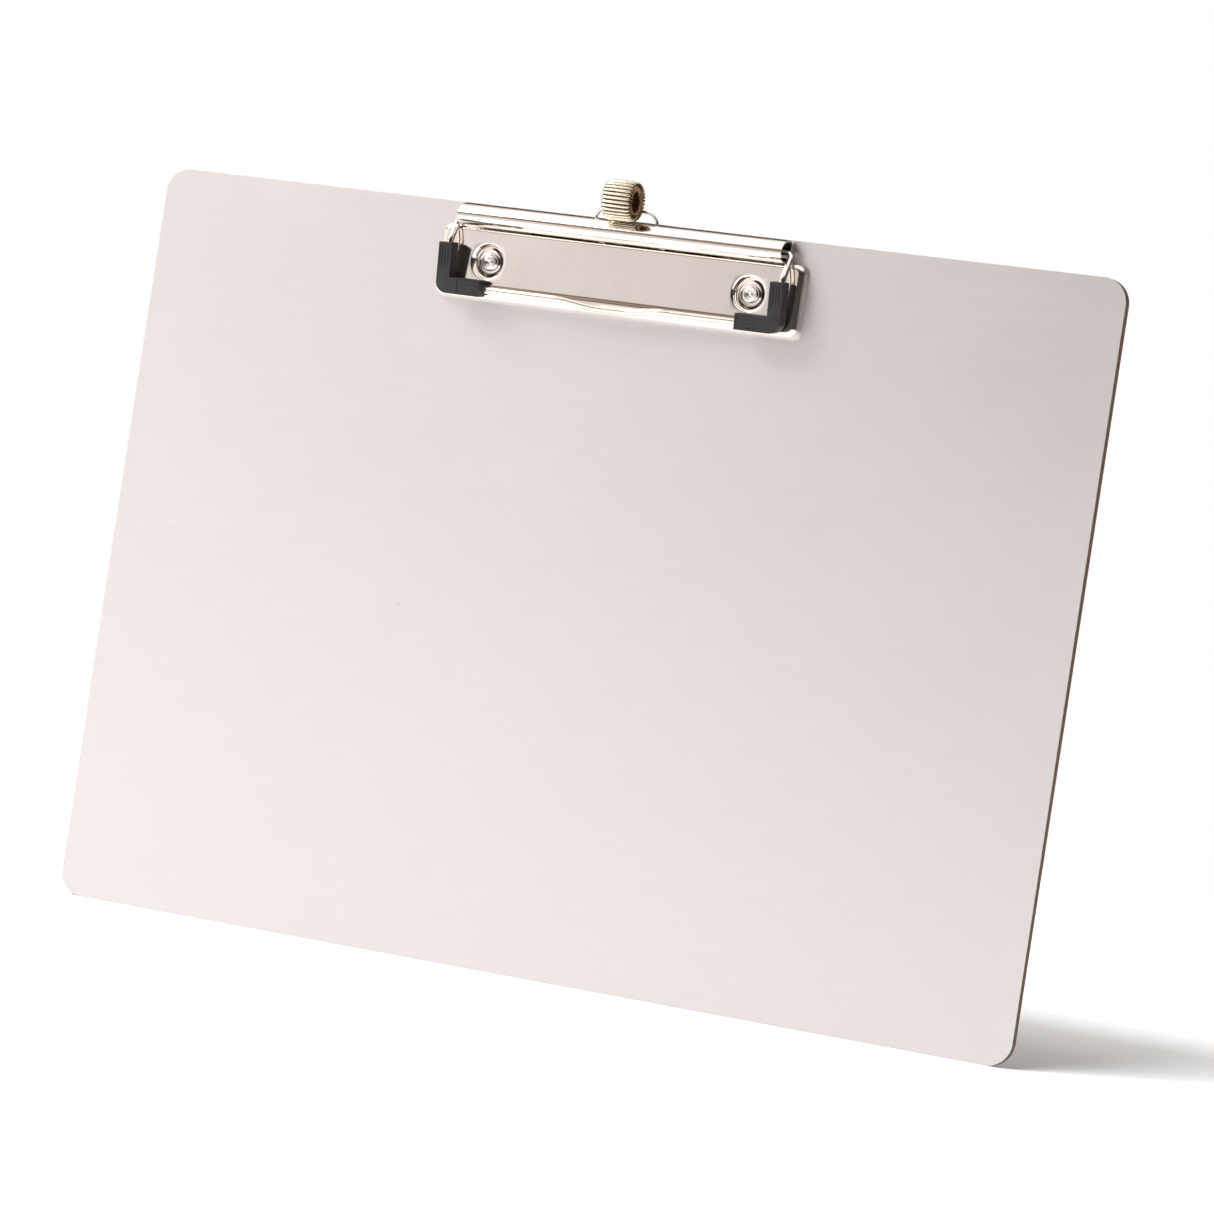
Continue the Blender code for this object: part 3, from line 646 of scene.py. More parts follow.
def hardboard():
    material, g, shader, coords = new_material("tempered_hardboard", 0.0, Specular_IOR_Level=0.3)
    fibres = g.noise(g.scaled(coords, (700.0, 700.0, 700.0)), 1.0, 5.0, 0.7)
    strands = g.noise(g.scaled(coords, (90.0, 2200.0, 420.0)), 1.0, 3.0, 0.6)
    clouds = g.noise(coords, 22.0, 3.0)
    specks = use_group(g, DUST_SPECKS, Vector=coords, Scale=420.0, Size=0.16, Rarity=0.55)["Mask"]
    base = g.mix(g.span(fibres, 0.3, 0.7), (0.105, 0.058, 0.033, 1), (0.2, 0.118, 0.068, 1))
    base = g.mix(g.span(strands, 0.45, 0.75, 0.0, 0.55), base, (0.27, 0.17, 0.1, 1))
    base = g.mix(g.span(clouds, 0.35, 0.7, 0.0, 0.35), base, (0.09, 0.05, 0.03, 1))
    g.feed(shader.inputs["Base Color"], g.mix(specks, base, (0.05, 0.028, 0.018, 1)))
    g.feed(shader.inputs["Roughness"], g.span(fibres, 0.2, 0.8, 0.55, 0.8))
    bump(g, shader, fibres, 0.05 * MM, 0.6)
    return material


# ---------------------------------------------------------------- the board


def board_outlines():
    half_x = CORE_HIGH.x - BOARD_CORNER_RADIUS
    half_z = CORE_HIGH.z - BOARD_CORNER_RADIUS
    corners = ((half_x, half_z), (-half_x, half_z), (-half_x, -half_z), (half_x, -half_z))
    outline = []
    for i, centre in enumerate(corners):
        outline += arc(centre, BOARD_CORNER_RADIUS, i * math.pi / 2, (i + 1) * math.pi / 2, 20)
    holes = []
    for x in (-RIVET_X, RIVET_X):
        holes.append(arc((x, BOARD_TOP - RIVET_DROP), RIVET_HOLE_RADIUS, 0, 2 * math.pi, 32)[:-1])
    return [outline] + holes


def make_board(brown, brushed):
    """The core reaches up to the sheet on its face, because the two are glued together."""
    sheets = (
        ("board_core", CORE_HIGH.y, FACE_HIGH.y + SEATED, CORE_EDGE, brown, "hardboard_core", "hardboard"),
        ("board_face", FACE_HIGH.y, FACE_LOW.y, FACE_EDGE, brushed, "aluminium_face", "brushed_aluminium"),
    )
    for name, back, front, edge, material, node, slot in sheets:
        matrix = Matrix.Translation((0, (back + front) / 2, 0)) @ Matrix.Rotation(math.pi / 2, 4, "X")
        piece = flat_piece(name, board_outlines(), back - front, matrix, edge)
        if node == "hardboard_core":
            piece = with_head_recesses(piece)
        flatten_broad_faces(piece)
        finish_piece(piece, "board", material, slot, node)


def with_head_recesses(core):
    """Cut the round recesses in the board's back that the rivets' heads sit in."""
    turn = Matrix.Rotation(math.pi / 2, 4, "X")
    cutters = []
    for x in (-RIVET_X, RIVET_X):
        bm = bmesh.new()
        bmesh.ops.create_cone(
            bm, cap_ends=True, segments=64, radius1=HEAD_RECESS_RADIUS, radius2=HEAD_RECESS_RADIUS,
            depth=2 * HEAD_RECESS_DEPTH,
        )
        spot = Matrix.Translation((x, CORE_HIGH.y, BOARD_TOP - RIVET_DROP))
        bmesh.ops.transform(bm, matrix=spot @ turn, verts=bm.verts[:])
        cutters.append(bmesh_object("recess", bm))
    core = cut(core, cutters, 20)
    remove(cutters)
    return core


# ---------------------------------------------------------------- the clip plate


def dimple(x, drop):
    distance = min(math.hypot(x - side * RIVET_X, drop - RIVET_DROP) for side in (-1, 1))
    return DIMPLE_DEPTH * (1 - smoothstep((distance - DIMPLE_INNER) / (DIMPLE_OUTER - DIMPLE_INNER)))


def bead(x, drop):
    across = min(abs(drop - BEAD_DROP) / BEAD_HALF_WIDTH, 1.0)
    ends = smoothstep((BEAD_HALF_LENGTH - abs(x)) / BEAD_HALF_WIDTH + 0.5)
    return BEAD_RISE * 0.5 * (1 + math.cos(math.pi * across)) * ends


def pan_rise(x, drop):
    """The pressed face: slightly crowned, with the bead and the two dimples."""
    off = (drop - PAN_MIDDLE_DROP) / (PAN_BOTTOM_DROP - PAN_MIDDLE_DROP)
    return PAN_FACE - PAN_CROWN * off * off + bead(x, drop) - dimple(x, drop)


class Surface:
    """Points on the clip by (x, drop, rise), each made once, and the faces between them."""

    def __init__(self):
        self.verts = []
        self.faces = []
        self.index = {}

    def point(self, x, drop, rise):
        key = (round(x * 1e7), round(drop * 1e7), round(rise * 1e7))
        if key not in self.index:
            self.index[key] = len(self.verts)
            self.verts.append(place(x, drop, rise))
        return self.index[key]

    def strip(self, first, second, closed=True):
        count = len(first)
        for k in range(count if closed else count - 1):
            n = (k + 1) % count
            corners = []
            for vert in (first[k], first[n], second[n], second[k]):
                if vert not in corners:
                    corners.append(vert)
            if len(corners) > 2:
                self.faces.append(tuple(corners))


def pan_sheet():
    """The pan's skin: a grid on its face, a round patch at each dimple, and rings over its shoulder."""
    inner_x = PAN_HALF_LENGTH - PAN_CORNER_RADIUS
    top = PAN_TOP_DROP + PAN_CORNER_RADIUS
    bottom = PAN_BOTTOM_DROP - PAN_CORNER_RADIUS
    patch_low = RIVET_X - DIMPLE_PATCH
    patch_high = RIVET_X + DIMPLE_PATCH
    half = spread(0, patch_low, 24)
    half += spread(patch_low, patch_high, PATCH_STEPS)[1:]
    half += spread(patch_high, inner_x, 16)[1:]
    columns = [-x for x in reversed(half[1:])] + half
    rows = spread(top, RIVET_DROP - DIMPLE_PATCH, 3)
    rows += spread(RIVET_DROP - DIMPLE_PATCH, RIVET_DROP + DIMPLE_PATCH, PATCH_STEPS)[1:]
    rows += spread(RIVET_DROP + DIMPLE_PATCH, bottom, 12)[1:]
    skin = Surface()

    def on_face(x, drop):
        return skin.point(x, drop, pan_rise(x, drop))

    def in_patch(x, drop):
        return abs(abs(x) - RIVET_X) < DIMPLE_PATCH and abs(drop - RIVET_DROP) < DIMPLE_PATCH

    for i in range(len(columns) - 1):
        for j in range(len(rows) - 1):
            if not in_patch((columns[i] + columns[i + 1]) / 2, (rows[j] + rows[j + 1]) / 2):
                skin.strip(
                    [on_face(columns[i], rows[j]), on_face(columns[i + 1], rows[j])],
                    [on_face(columns[i], rows[j + 1]), on_face(columns[i + 1], rows[j + 1])],
                    closed=False,
                )
    for side in (-1, 1):
        add_dimple_patch(skin, on_face, side * RIVET_X)
    add_shoulder(skin, columns, rows)
    return skin


def add_dimple_patch(skin, on_face, x):
    """Rings from the square hole in the grid to the rivet's hole."""
    steps = spread(-DIMPLE_PATCH, DIMPLE_PATCH, PATCH_STEPS)
    square = [(s, -DIMPLE_PATCH) for s in steps[:-1]] + [(DIMPLE_PATCH, s) for s in steps[:-1]]
    square += [(-s, DIMPLE_PATCH) for s in steps[:-1]] + [(-DIMPLE_PATCH, -s) for s in steps[:-1]]
    ring = [on_face(x + a, RIVET_DROP + b) for a, b in square]
    radii = spread(DIMPLE_OUTER, DIMPLE_INNER, 18) + spread(DIMPLE_INNER, RIVET_HOLE_RADIUS, 4)[1:]
    for radius in [None] + radii:
        places = []
        for a, b in square:
            reach = math.hypot(a, b)
            wanted = radius if radius else (reach + DIMPLE_OUTER) / 2
            places.append(on_face(x + a * wanted / reach, RIVET_DROP + b * wanted / reach))
        skin.strip(ring, places)
        ring = places


def add_shoulder(skin, columns, rows):
    """Rings outwards from the face's inner rectangle, over the rounded shoulder and down the wall."""
    right, left = columns[-1], columns[0]
    top, bottom = rows[0], rows[-1]
    walk = [(x, top, -math.pi / 2) for x in columns]
    walk += [(right, top, a) for a in spread(-math.pi / 2, 0, CORNER_STEPS)]
    walk += [(right, drop, 0) for drop in rows]
    walk += [(right, bottom, a) for a in spread(0, math.pi / 2, CORNER_STEPS)]
    walk += [(x, bottom, math.pi / 2) for x in reversed(columns)]
    walk += [(left, bottom, a) for a in spread(math.pi / 2, math.pi, CORNER_STEPS)]
    walk += [(left, drop, math.pi) for drop in reversed(rows)]
    walk += [(left, top, a) for a in spread(math.pi, 1.5 * math.pi, CORNER_STEPS)]
    flat = PAN_CORNER_RADIUS - PAN_SHOULDER
    profile = [(reach, 0.0) for reach in spread(0, flat, 5)]
    for a in spread(0, math.pi / 2, 12)[1:]:
        profile.append((flat + PAN_SHOULDER * math.sin(a), PAN_SHOULDER * (1 - math.cos(a))))
    profile.append((PAN_CORNER_RADIUS, (PAN_FACE + PAN_SHOULDER - SEATED) / 2))
    profile.append((PAN_CORNER_RADIUS, PAN_FACE - SEATED))
    ring = None
    for reach, fall in profile:
        places = []
        for x, drop, angle in walk:
            at_x = x + reach * math.cos(angle)
            at_drop = drop + reach * math.sin(angle)
            kept = 1 - smoothstep(fall / PAN_SHOULDER)
            rise = PAN_FACE - fall + (pan_rise(at_x, at_drop) - PAN_FACE) * kept
            places.append(skin.point(at_x, at_drop, rise))
        if ring:
            skin.strip(ring, places)
        ring = places


def tube_profile():
    """(drop, rise) up the back wall, over the roof, round the nose and in to the lip."""
    profile = [(drop, SEATED) for drop in spread(PAN_TOP_DROP + SHEET / 2, TUBE_CREST_DROP + TUBE_BEND, 6)]
    for a in spread(0, math.pi / 2, 8)[1:]:
        drop = TUBE_CREST_DROP + TUBE_BEND * (1 - math.sin(a))
        profile.append((drop, SEATED + (TUBE_ROOF_RISE - SEATED) * (1 - math.cos(a))))
    for a in spread(0, math.pi / 2, 36)[1:]:
        drop = TUBE_NOSE_DROP - TUBE_ROOF_HEIGHT * math.cos(a)
        profile.append((drop, TUBE_ROOF_RISE + TUBE_ROOF_DEPTH * math.sin(a)))
    for a in spread(0, math.pi / 2, 20)[1:]:
        rise = TUBE_NOSE_RISE - TUBE_LIP_DEPTH * (1 - math.cos(a))
        profile.append((TUBE_NOSE_DROP + TUBE_LIP_HEIGHT * math.sin(a), rise))
    return profile


def tube_sheet():
    profile = tube_profile()
    slot_low = LOOP_HALF_WIDTH - SLOT_HALF_WIDTH
    slot_high = LOOP_HALF_WIDTH + SLOT_HALF_WIDTH
    half = spread(0, slot_low, 3) + [slot_high] + spread(slot_high, TUBE_HALF_LENGTH, 14)[1:]
    stations = [-x for x in reversed(half[1:])] + half
    skin = Surface()
    for x, next_x in zip(stations, stations[1:]):
        slotted = slot_low < abs(x + next_x) / 2 < slot_high
        for (drop, rise), (next_drop, next_rise) in zip(profile, profile[1:]):
            in_slot = slotted and SLOT_BACK_RISE < (rise + next_rise) / 2 < SLOT_FRONT_RISE
            if in_slot and drop < TUBE_NOSE_DROP:
                continue
            skin.strip(
                [skin.point(x, drop, rise), skin.point(next_x, drop, rise)],
                [skin.point(x, next_drop, next_rise), skin.point(next_x, next_drop, next_rise)],
                closed=False,
            )
    return skin


def pressed_piece(name, skin, angle):
    """A skin given the thickness of the sheet, behind its outer face."""
    piece = mesh_object(name, skin.verts, skin.faces)
    tidy_normals(piece)
    face_forward(piece)
    wall = piece.modifiers.new("Sheet", "SOLIDIFY")
    wall.thickness = SHEET
    wall.offset = -1
    wall.use_even_offset = True
    return settle(piece, angle)


def make_clip_plate(nickel):
    pan = pressed_piece("clip_pan", pan_sheet(), 60)
    finish_piece(pan, "board", nickel, "nickel_plate", "clip_plate")
    tube = pressed_piece("clip_tube", tube_sheet(), 50)
    finish_piece(tube, "board", nickel, "nickel_plate")


# ---------------------------------------------------------------- rivets


def rivet_profile():
    """Rolled flange with a turned groove, bore with a raised nib, shank, and the low head behind."""
    floor = RIVET_CROWN - RIVET_BORE_DEPTH
    under = RIVET_CROWN - RIVET_FLANGE_HEIGHT
    back = RIVET_HEAD_HEIGHT - RIVET_BACK_DEPTH
    middle = (RIVET_FLANGE_RADIUS + RIVET_BORE_RADIUS) / 2
    reach = (RIVET_FLANGE_RADIUS - RIVET_BORE_RADIUS) / 2
    profile = []
    for a in spread(math.pi / 2, 0, 8):
        profile.append((RIVET_NIB_RADIUS * math.cos(a), floor + RIVET_NIB_HEIGHT * math.sin(a)))
    profile.append((RIVET_BORE_RADIUS, floor))
    for a in spread(math.pi, 0, 24):
        out = math.cos(a)
        groove = RIVET_GROOVE_DEPTH * math.exp(-((out - RIVET_GROOVE_PLACE) / RIVET_GROOVE_WIDTH) ** 2)
        rise = RIVET_CROWN - RIVET_FLANGE_CROWN * (1 - math.sin(a)) - groove
        profile.append((middle + reach * out, rise))
    profile += [(RIVET_FLANGE_RADIUS, under), (RIVET_SHANK_RADIUS, under), (RIVET_SHANK_RADIUS, back)]
    for a in spread(0, math.pi / 2, 14):
        profile.append((RIVET_HEAD_RADIUS * math.cos(a), back - RIVET_HEAD_HEIGHT * math.sin(a)))
    return profile


def make_rivets(nickel):
    for side, x in (("left", -RIVET_X), ("right", RIVET_X)):
        piece = turned_piece("rivet_turned_" + side, rivet_profile(), x, RIVET_DROP)
        finish_piece(piece, "board", nickel, "nickel_plate", "rivet_" + side)


# ---------------------------------------------------------------- bail and grips


def bail_path():
    knee_rise = BAIL_RUN_RISE + (BAIL_RUN_DROP - BAIL_KNEE_DROP) * math.tan(BAIL_TILT)
    corners = [
        place(-BAIL_END_X, BAIL_AXIS_DROP, BAIL_AXIS_RISE),
        place(-BAIL_HALF_WIDTH, BAIL_AXIS_DROP, BAIL_AXIS_RISE),
        place(-BAIL_HALF_WIDTH, BAIL_KNEE_DROP, knee_rise),
        place(-BAIL_HALF_WIDTH, BAIL_RUN_DROP, BAIL_RUN_RISE),
        place(-BOW_HALF_WIDTH, BAIL_RUN_DROP, BAIL_RUN_RISE),
        place(-BOW_HALF_FLAT, BAIL_RUN_DROP + BOW_DEPTH, BAIL_RUN_RISE),
        place(0, BAIL_RUN_DROP + BOW_DEPTH, BAIL_RUN_RISE),
    ]
    return mirrored(rounded_path(corners, BAIL_BENDS)[:-1])


def grip_outline(side):
    outer = BAIL_HALF_WIDTH + GRIP_SIDE_MARGIN
    low = -GRIP_LOWER_MARGIN
    corner = (outer - GRIP_CORNER_RADIUS, low + GRIP_CORNER_RADIUS)
    points = [
        (outer - GRIP_LEG_WIDTH, low + GRIP_HEIGHT),
        (outer - GRIP_LEG_WIDTH, low + GRIP_FOOT_HEIGHT),
        (outer - GRIP_LENGTH, low + GRIP_FOOT_HEIGHT),
        (outer - GRIP_LENGTH, low),
    ]
    points += arc(corner, GRIP_CORNER_RADIUS, -math.pi / 2, 0, 12)
    points.append((outer, low + GRIP_HEIGHT))
    if side < 0:
        points = [(-x, y) for x, y in reversed(points)]
    return points


def grip_matrix():
    """The bail's tilted plane: x across, y up the board from the wire's run, z out of the front."""
    run = Matrix.Translation(place(0, BAIL_RUN_DROP, BAIL_RUN_RISE))
    return run @ Matrix.Rotation(math.pi / 2 + BAIL_TILT, 4, "X")


def box_piece(name, low, high, matrix):
    bm = bmesh.new()
    bmesh.ops.create_cube(bm, size=1.0)
    bmesh.ops.scale(bm, vec=high - low, verts=bm.verts[:])
    bmesh.ops.translate(bm, vec=(high + low) / 2, verts=bm.verts[:])
    bmesh.ops.transform(bm, matrix=matrix, verts=bm.verts[:])
    return bmesh_object(name, bm)


def grip_panels(side):
    """The two recessed panels of a grip, as (low corner, high corner, runs up) in its plane."""
    outer = BAIL_HALF_WIDTH + GRIP_SIDE_MARGIN
    low = -GRIP_LOWER_MARGIN
    front = GRIP_THICKNESS - BAIL_WIRE / 2
    leg = (
        (outer - GRIP_LEG_WIDTH + PANEL_MARGIN, low + GRIP_HEIGHT - PANEL_LENGTH),
        (outer - PANEL_MARGIN, low + GRIP_HEIGHT - PANEL_MARGIN),
        True,
    )
    foot = (
        (outer - GRIP_LENGTH + PANEL_MARGIN, low + PANEL_MARGIN),
        (outer - GRIP_LENGTH + PANEL_LENGTH, low + GRIP_FOOT_HEIGHT - PANEL_MARGIN),
        False,
    )
    panels = []
    for (x0, y0), (x1, y1), upright in (leg, foot):
        if side < 0:
            x0, x1 = -x1, -x0
        panels.append((Vector((x0, y0, front - PANEL_DEPTH)), Vector((x1, y1, front + MM)), upright))
    return panels


def rib_row(material):
    """A row of ribs side by side, blunt at both ends."""
    inputs = (("Count", "Int"), ("Pitch", "Vector"), ("Length", "Float"), ("Width", "Float"))
    g = Growth("rib_row", inputs)
    line = g.add("GeometryNodeMeshLine", mode="OFFSET")
    g.feed(line.inputs["Count"], g.given["Count"])
    g.feed(line.inputs["Offset"], g.given["Pitch"])
    first = g.add("ShaderNodeVectorMath", operation="SCALE")
    g.feed(first.inputs[0], g.given["Pitch"])
    g.feed(first.inputs["Scale"], g.times(g.minus(g.given["Count"], 1.0), -0.5))
    g.feed(line.inputs["Start Location"], first.outputs[0])
    run = g.add("GeometryNodeCurvePrimitiveLine")
    for end, share in (("Start", -0.5), ("End", 0.5)):
        g.feed(run.inputs[end], g.point(0.0, g.times(g.given["Length"], share), 0.0))
    finer = g.add("GeometryNodeResampleCurve")
    g.feed(finer.inputs["Curve"], run.outputs[0])
    g.feed(finer.inputs["Count"], 11)
    along = g.add("GeometryNodeSplineParameter").outputs["Factor"]
    off = g.math("ABSOLUTE", g.minus(g.times(along, 2.0), 1.0))
    blunt = g.math("SQRT", g.minus(1.02, g.math("POWER", off, 6.0)))
    copies = g.add("GeometryNodeInstanceOnPoints")
    g.feed(copies.inputs["Points"], line.outputs[0])
    g.feed(copies.inputs["Instance"], g.wire(finer.outputs[0], g.times(g.given["Width"], 0.5), blunt))
    g.finish(copies.outputs[0], material)
    return g


def grip_ribs(rows, panels, flat):
    """The ribs that stand on a grip's panels."""
    ribs = []
    for low, high, upright in panels:
        size = high - low
        values = {
            "Count": RIBS,
            "Pitch": ((size.x if upright else size.y) / (RIBS + 0.4), 0, 0),
            "Length": RIB_LENGTH,
            "Width": RIB_WIDTH,
        }
        spot = Matrix.Translation(((low.x + high.x) / 2, (low.y + high.y) / 2, low.z))
        turn = Matrix.Rotation(0 if upright else math.pi / 2, 4, "Z")
        ribs.append(rows.piece("ribs", values, flat @ spot @ turn))
    return ribs


def make_grips(plastic):
    rows = rib_row(plastic)
    flat = grip_matrix()
    middle = flat @ Matrix.Translation((0, 0, (GRIP_THICKNESS - BAIL_WIRE) / 2))
    groove = wire_piece("grip_groove", bail_path(), GRIP_GROOVE, rounds=4)
    for name, side in (("left", -1), ("right", 1)):
        outline = [grip_outline(side)]
        grip = flat_piece("grip_moulded_" + name, outline, GRIP_THICKNESS, middle, GRIP_EDGE, 3)
        panels = grip_panels(side)
        recesses = [box_piece("panel", low, high, flat) for low, high, _ in panels]
        grip = cut(grip, recesses + [groove], 30)
        remove(recesses)
        ribs = joined(grip_ribs(rows, panels, flat), "grip_ribs_" + name)
        ribs.data.shade_smooth()
        finish_piece(grip, "bail", plastic, "grip_plastic", "grip_" + name)
        finish_piece(ribs, "bail", plastic, "grip_plastic")
    remove([groove])


def joined(pieces, name):
    bm = bmesh.new()
    for piece in pieces:
        bm.from_mesh(piece.data)
    remove(pieces)
    bmesh.ops.recalc_face_normals(bm, faces=bm.faces[:])
    return bmesh_object(name, bm)


def make_bail(nickel, plastic):
    wire = wire_piece("bail_bent_wire", bail_path(), BAIL_WIRE, rounds=6)
    finish_piece(wire, "bail", nickel, "nickel_plate", "bail_wire")
    make_grips(plastic)


# ---------------------------------------------------------------- pen loop


def wound_ring(material):
    """A wire wound in flat turns round a ring whose axis runs along x."""
    inputs = (
        ("Turns", "Int"), ("Points", "Int"), ("Half Length", "Float"), ("Middle Radius", "Float"),
        ("Half Depth", "Float"), ("Wire Radius", "Float"), ("Seam Angle", "Float"), ("Centre", "Vector"),
    )
    g = Growth("wound_ring", inputs)
    line = g.add("GeometryNodeMeshLine", mode="OFFSET")
    g.feed(line.inputs["Count"], g.times(g.given["Turns"], g.given["Points"]))
    step = g.math("DIVIDE", g.add("GeometryNodeInputIndex").outputs[0], g.given["Points"])
    turn = g.math("FLOOR", step)
    phase = g.minus(step, turn)
    around = g.times(phase, 2 * math.pi)

    def squared(kind):
        swing = g.math(kind, around)
        size = g.math("POWER", g.math("ABSOLUTE", swing), COIL_TURN_ROUNDNESS)
        return g.times(size, g.math("SIGN", swing))

    along = g.times(squared("COSINE"), g.given["Half Length"])
    radius = g.plus(g.given["Middle Radius"], g.times(squared("SINE"), g.given["Half Depth"]))
    wound = g.plus(g.plus(turn, 0.5), g.span(phase, 0.5, 1.0, slope="SMOOTHSTEP"))
    swept = g.times(g.math("DIVIDE", wound, g.given["Turns"]), 2 * math.pi)
    angle = g.plus(swept, g.given["Seam Angle"])
    back = g.times(g.times(radius, g.math("SINE", angle)), -1.0)
    down = g.times(g.times(radius, g.math("COSINE", angle)), -1.0)
    bent = g.add("GeometryNodeSetPosition")
    g.feed(bent.inputs["Geometry"], line.outputs[0])
    g.feed(bent.inputs["Position"], g.vector("ADD", g.point(along, back, down), g.given["Centre"]))
    path = g.add("GeometryNodeMeshToCurve")
    g.feed(path.inputs["Mesh"], bent.outputs[0])
    g.finish(g.wire(path.outputs[0], g.given["Wire Radius"]), material)
    return g


def loop_path():
    """Inturned ends in the tube, necks through its roof, arms, and the bar inside the coil."""
    reach = (COIL_OUTER_RADIUS + COIL_HOLE_RADIUS) / 2
    bar = COIL_CENTRE - Vector((0, math.sin(COIL_SEAM_ANGLE), math.cos(COIL_SEAM_ANGLE))) * reach
    bar_end = (COIL_HIGH.x - COIL_LOW.x) / 2 + LOOP_BAR_OVERHANG
    shoulder_x = LOOP_HALF_WIDTH - LOOP_SHOULDER_INSET
    corners = [
        place(-LOOP_HALF_WIDTH + LOOP_HOOK, LOOP_AXIS_DROP, LOOP_AXIS_RISE),
        place(-LOOP_HALF_WIDTH, LOOP_AXIS_DROP, LOOP_AXIS_RISE),
        place(-LOOP_HALF_WIDTH, LOOP_NECK_DROP, LOOP_AXIS_RISE),
        place(-shoulder_x, LOOP_SHOULDER_DROP, LOOP_SHOULDER_RISE),
        Vector((-bar_end, bar.y, bar.z)),
        Vector((0, bar.y, bar.z)),
    ]
    return mirrored(rounded_path(corners, [LOOP_WIRE, LOOP_WIRE, 3 * LOOP_WIRE, LOOP_WIRE], steps=8)[:-1])


def make_pen_loop(coil_nickel, nickel):
    values = {
        "Turns": COIL_TURNS,
        "Points": COIL_TURN_POINTS,
        "Half Length": (COIL_HIGH.x - COIL_LOW.x - COIL_WIRE) / 2,
        "Middle Radius": (COIL_OUTER_RADIUS + COIL_HOLE_RADIUS) / 2,
        "Half Depth": (COIL_OUTER_RADIUS - COIL_HOLE_RADIUS - COIL_WIRE) / 2,
        "Wire Radius": COIL_WIRE / 2,
        "Seam Angle": COIL_SEAM_ANGLE,
        "Centre": tuple(COIL_CENTRE),
    }
    coil = wound_ring(coil_nickel).piece("pen_coil_wound", values, Matrix.Identity(4))
    tidy_normals(coil)
    coil.data.shade_smooth()
    finish_piece(coil, "pen_loop", coil_nickel, "nickel_plate", "pen_coil")
    carrier = wire_piece("pen_loop_bent_wire", loop_path(), LOOP_WIRE, rounds=4)
    finish_piece(carrier, "pen_loop", nickel, "nickel_plate", "pen_loop_wire")


# ---------------------------------------------------------------- finishing


def finish_piece(piece, body, material, slot, node=None):
    piece.data.materials.clear()
    piece.data.materials.append(material)
    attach(piece, body)
    if node:
        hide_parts(node)


def make_floor(half=1.6):
    level = CORE_LOW.z - SEATED
    corners = [(x * half, y * half, level) for x, y in ((-1, -1), (1, -1), (1, 1), (-1, 1))]
    floor = mesh_object("studio_floor", corners, [(0, 1, 2, 3)])
    material, g, shader, coords = new_material("white_floor", 0.0, Specular_IOR_Level=0.0)
    tone = g.mix(g.noise(coords, 3.0), (0.61, 0.615, 0.62, 1), (0.63, 0.635, 0.64, 1))
    g.feed(shader.inputs["Base Color"], tone)
    shader.inputs["Roughness"].default_value = 0.9
    floor.data.materials.append(material)
    return floor


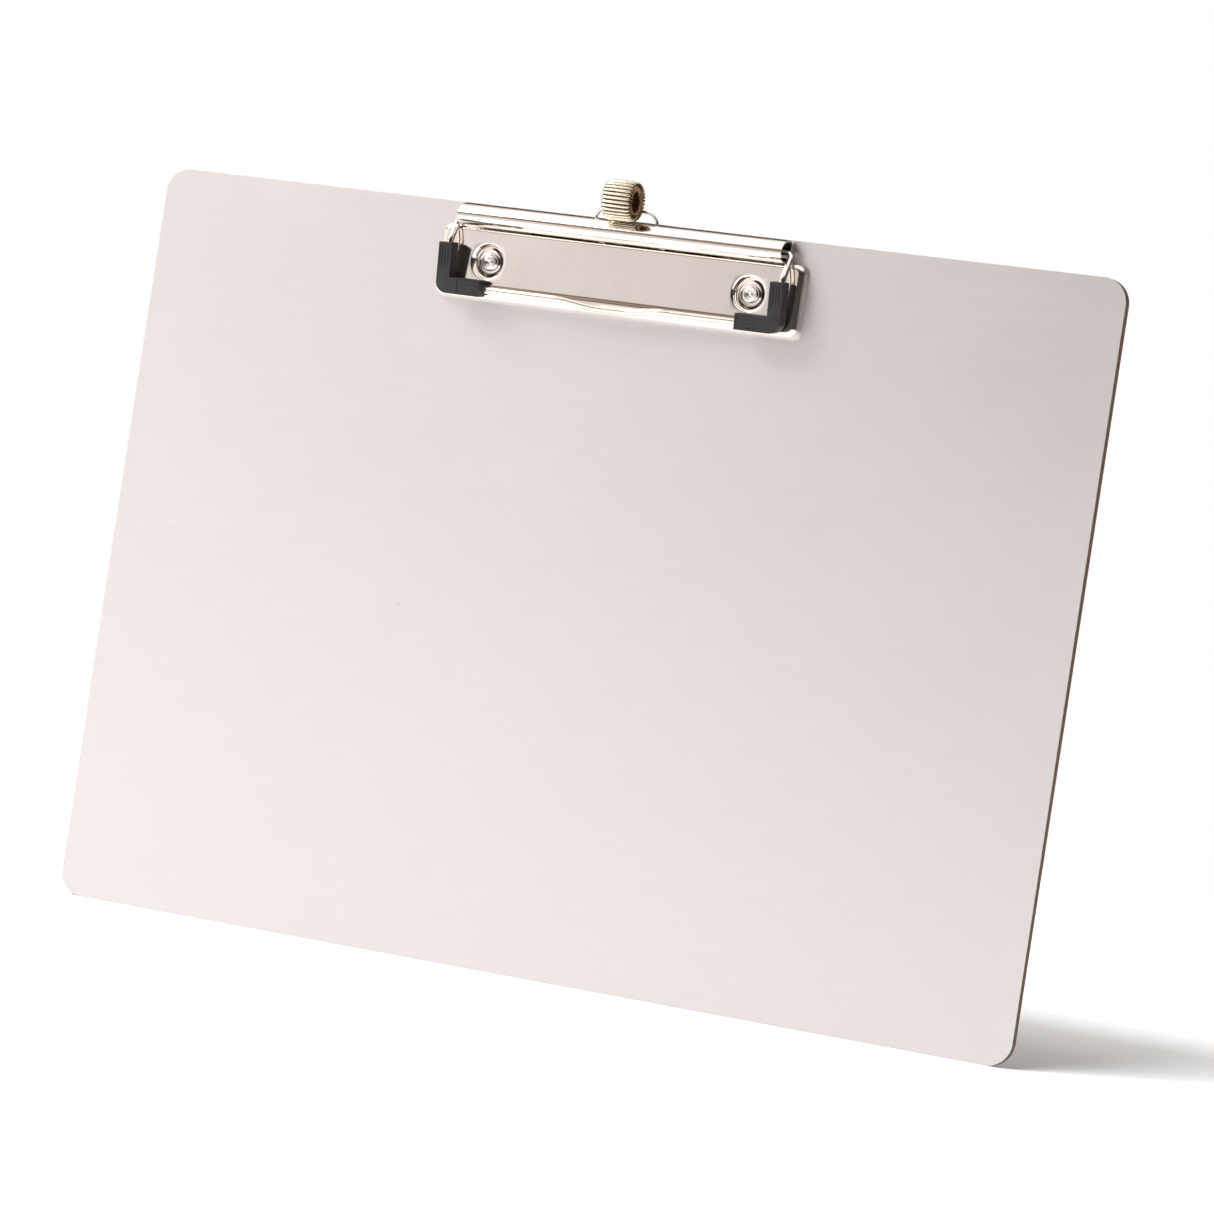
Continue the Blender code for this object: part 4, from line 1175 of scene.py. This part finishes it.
def make_studio(floor):
    """A white background, a bright ceiling, a pale left side and a dark right side, and the key lamp."""
    scene = bpy.context.scene
    scene.view_settings.view_transform = "Standard"
    world = bpy.data.worlds.new("studio")
    scene.world = world
    world.use_nodes = True
    g = Graph(world.node_tree)
    background = world.node_tree.nodes["Background"]
    split = g.add("ShaderNodeSeparateXYZ")
    g.feed(split.inputs[0], g.add("ShaderNodeTexCoord").outputs["Generated"])
    x, y, z = split.outputs

    def ramp(value, stops):
        node = g.add("ShaderNodeValToRGB")
        g.feed(node.inputs[0], value)
        elements = node.color_ramp.elements
        while len(elements) < len(stops):
            elements.new(0.5)
        for element, (at, tone) in zip(elements, stops):
            element.position = at
            element.color = (*tone, 1)
        return node.outputs[0]

    height = g.span(z, -1.0, 1.0)
    pale = ramp(height, (
        (0.40, (0.9, 0.87, 0.86)), (0.49, (1.06, 1.02, 1.0)), (0.60, (1.15, 1.1, 1.08)),
        (0.65, (0.95, 0.88, 0.84)), (0.69, (0.3, 0.2, 0.14)), (0.76, (0.3, 0.2, 0.14)),
        (0.84, (1.4, 1.36, 1.31)), (1.0, (1.5, 1.47, 1.43)),
    ))
    dark = ramp(height, (
        (0.40, (0.1, 0.09, 0.085)), (0.62, (0.03, 0.026, 0.024)), (0.78, (0.1, 0.09, 0.08)),
        (0.9, (1.2, 1.17, 1.14)), (1.0, (1.5, 1.47, 1.43)),
    ))
    aside = g.plus(g.times(x, 0.97), g.times(y, 0.24))
    room = g.mix(g.span(aside, -0.72, -0.41), pale, dark)
    seen = g.add("ShaderNodeLightPath").outputs["Is Camera Ray"]
    g.feed(background.inputs["Color"], g.mix(seen, room, (1, 1, 1, 1)))
    background.inputs["Strength"].default_value = 1.0

    softbox = bpy.data.lights.new("key", "AREA")
    softbox.shape = "DISK"
    softbox.size = 1.3
    softbox.energy = 36
    softbox.color = (1.0, 0.985, 0.97)
    key = bpy.data.objects.new("key", softbox)
    scene.collection.objects.link(key)
    key.location = (-1.6, -1.1, 1.6)
    key.rotation_euler = (-key.location).to_track_quat("-Z", "Y").to_euler()
    add_floor_light(floor)


def add_floor_light(floor):
    """A light from the front that reaches only the floor, and throws the board's shadow on it."""
    lit = bpy.data.collections.new("floor_only")
    lit.objects.link(floor)
    sun = bpy.data.lights.new("floor_light", "SUN")
    sun.energy = 6.0
    sun.angle = math.radians(28)
    lamp = bpy.data.objects.new("floor_light", sun)
    bpy.context.scene.collection.objects.link(lamp)
    lamp.rotation_euler = Vector((0.2, 1.0, -0.75)).to_track_quat("-Z", "Y").to_euler()
    lamp.light_linking.receiver_collection = lit


def make_camera():
    azimuth = math.radians(24.5416)
    elevation = math.radians(-0.1646)
    roll = math.radians(-8.7525)
    ahead = Vector((
        -math.sin(azimuth) * math.cos(elevation),
        math.cos(azimuth) * math.cos(elevation),
        -math.sin(elevation),
    ))
    right = Vector((math.cos(azimuth), math.sin(azimuth), 0))
    up = right.cross(ahead)
    across = math.cos(roll) * right - math.sin(roll) * up
    upwards = math.sin(roll) * right + math.cos(roll) * up
    lens = bpy.data.cameras.new("camera")
    lens.sensor_width = 36
    lens.lens = 153.957
    lens.clip_start = 0.01
    camera = bpy.data.objects.new("camera", lens)
    bpy.context.scene.collection.objects.link(camera)
    turn = Matrix((across, upwards, -ahead)).transposed().to_4x4()
    camera.matrix_world = Matrix.Translation((0.6552, -1.4118, -0.0052)) @ turn
    bpy.context.scene.camera = camera


make_camera()
make_studio(make_floor())
clip_nickel = polished_nickel("polished_nickel", (0.92, 0.86, 0.81), 0.1, 45.0)
wire_nickel = polished_nickel("wire_nickel", (0.86, 0.81, 0.74), 0.1, 120.0)
make_board(hardboard(), brushed_aluminium())
make_clip_plate(clip_nickel)
make_rivets(clip_nickel)
make_bail(wire_nickel, grip_plastic())
make_pen_loop(spring_nickel(), wire_nickel)
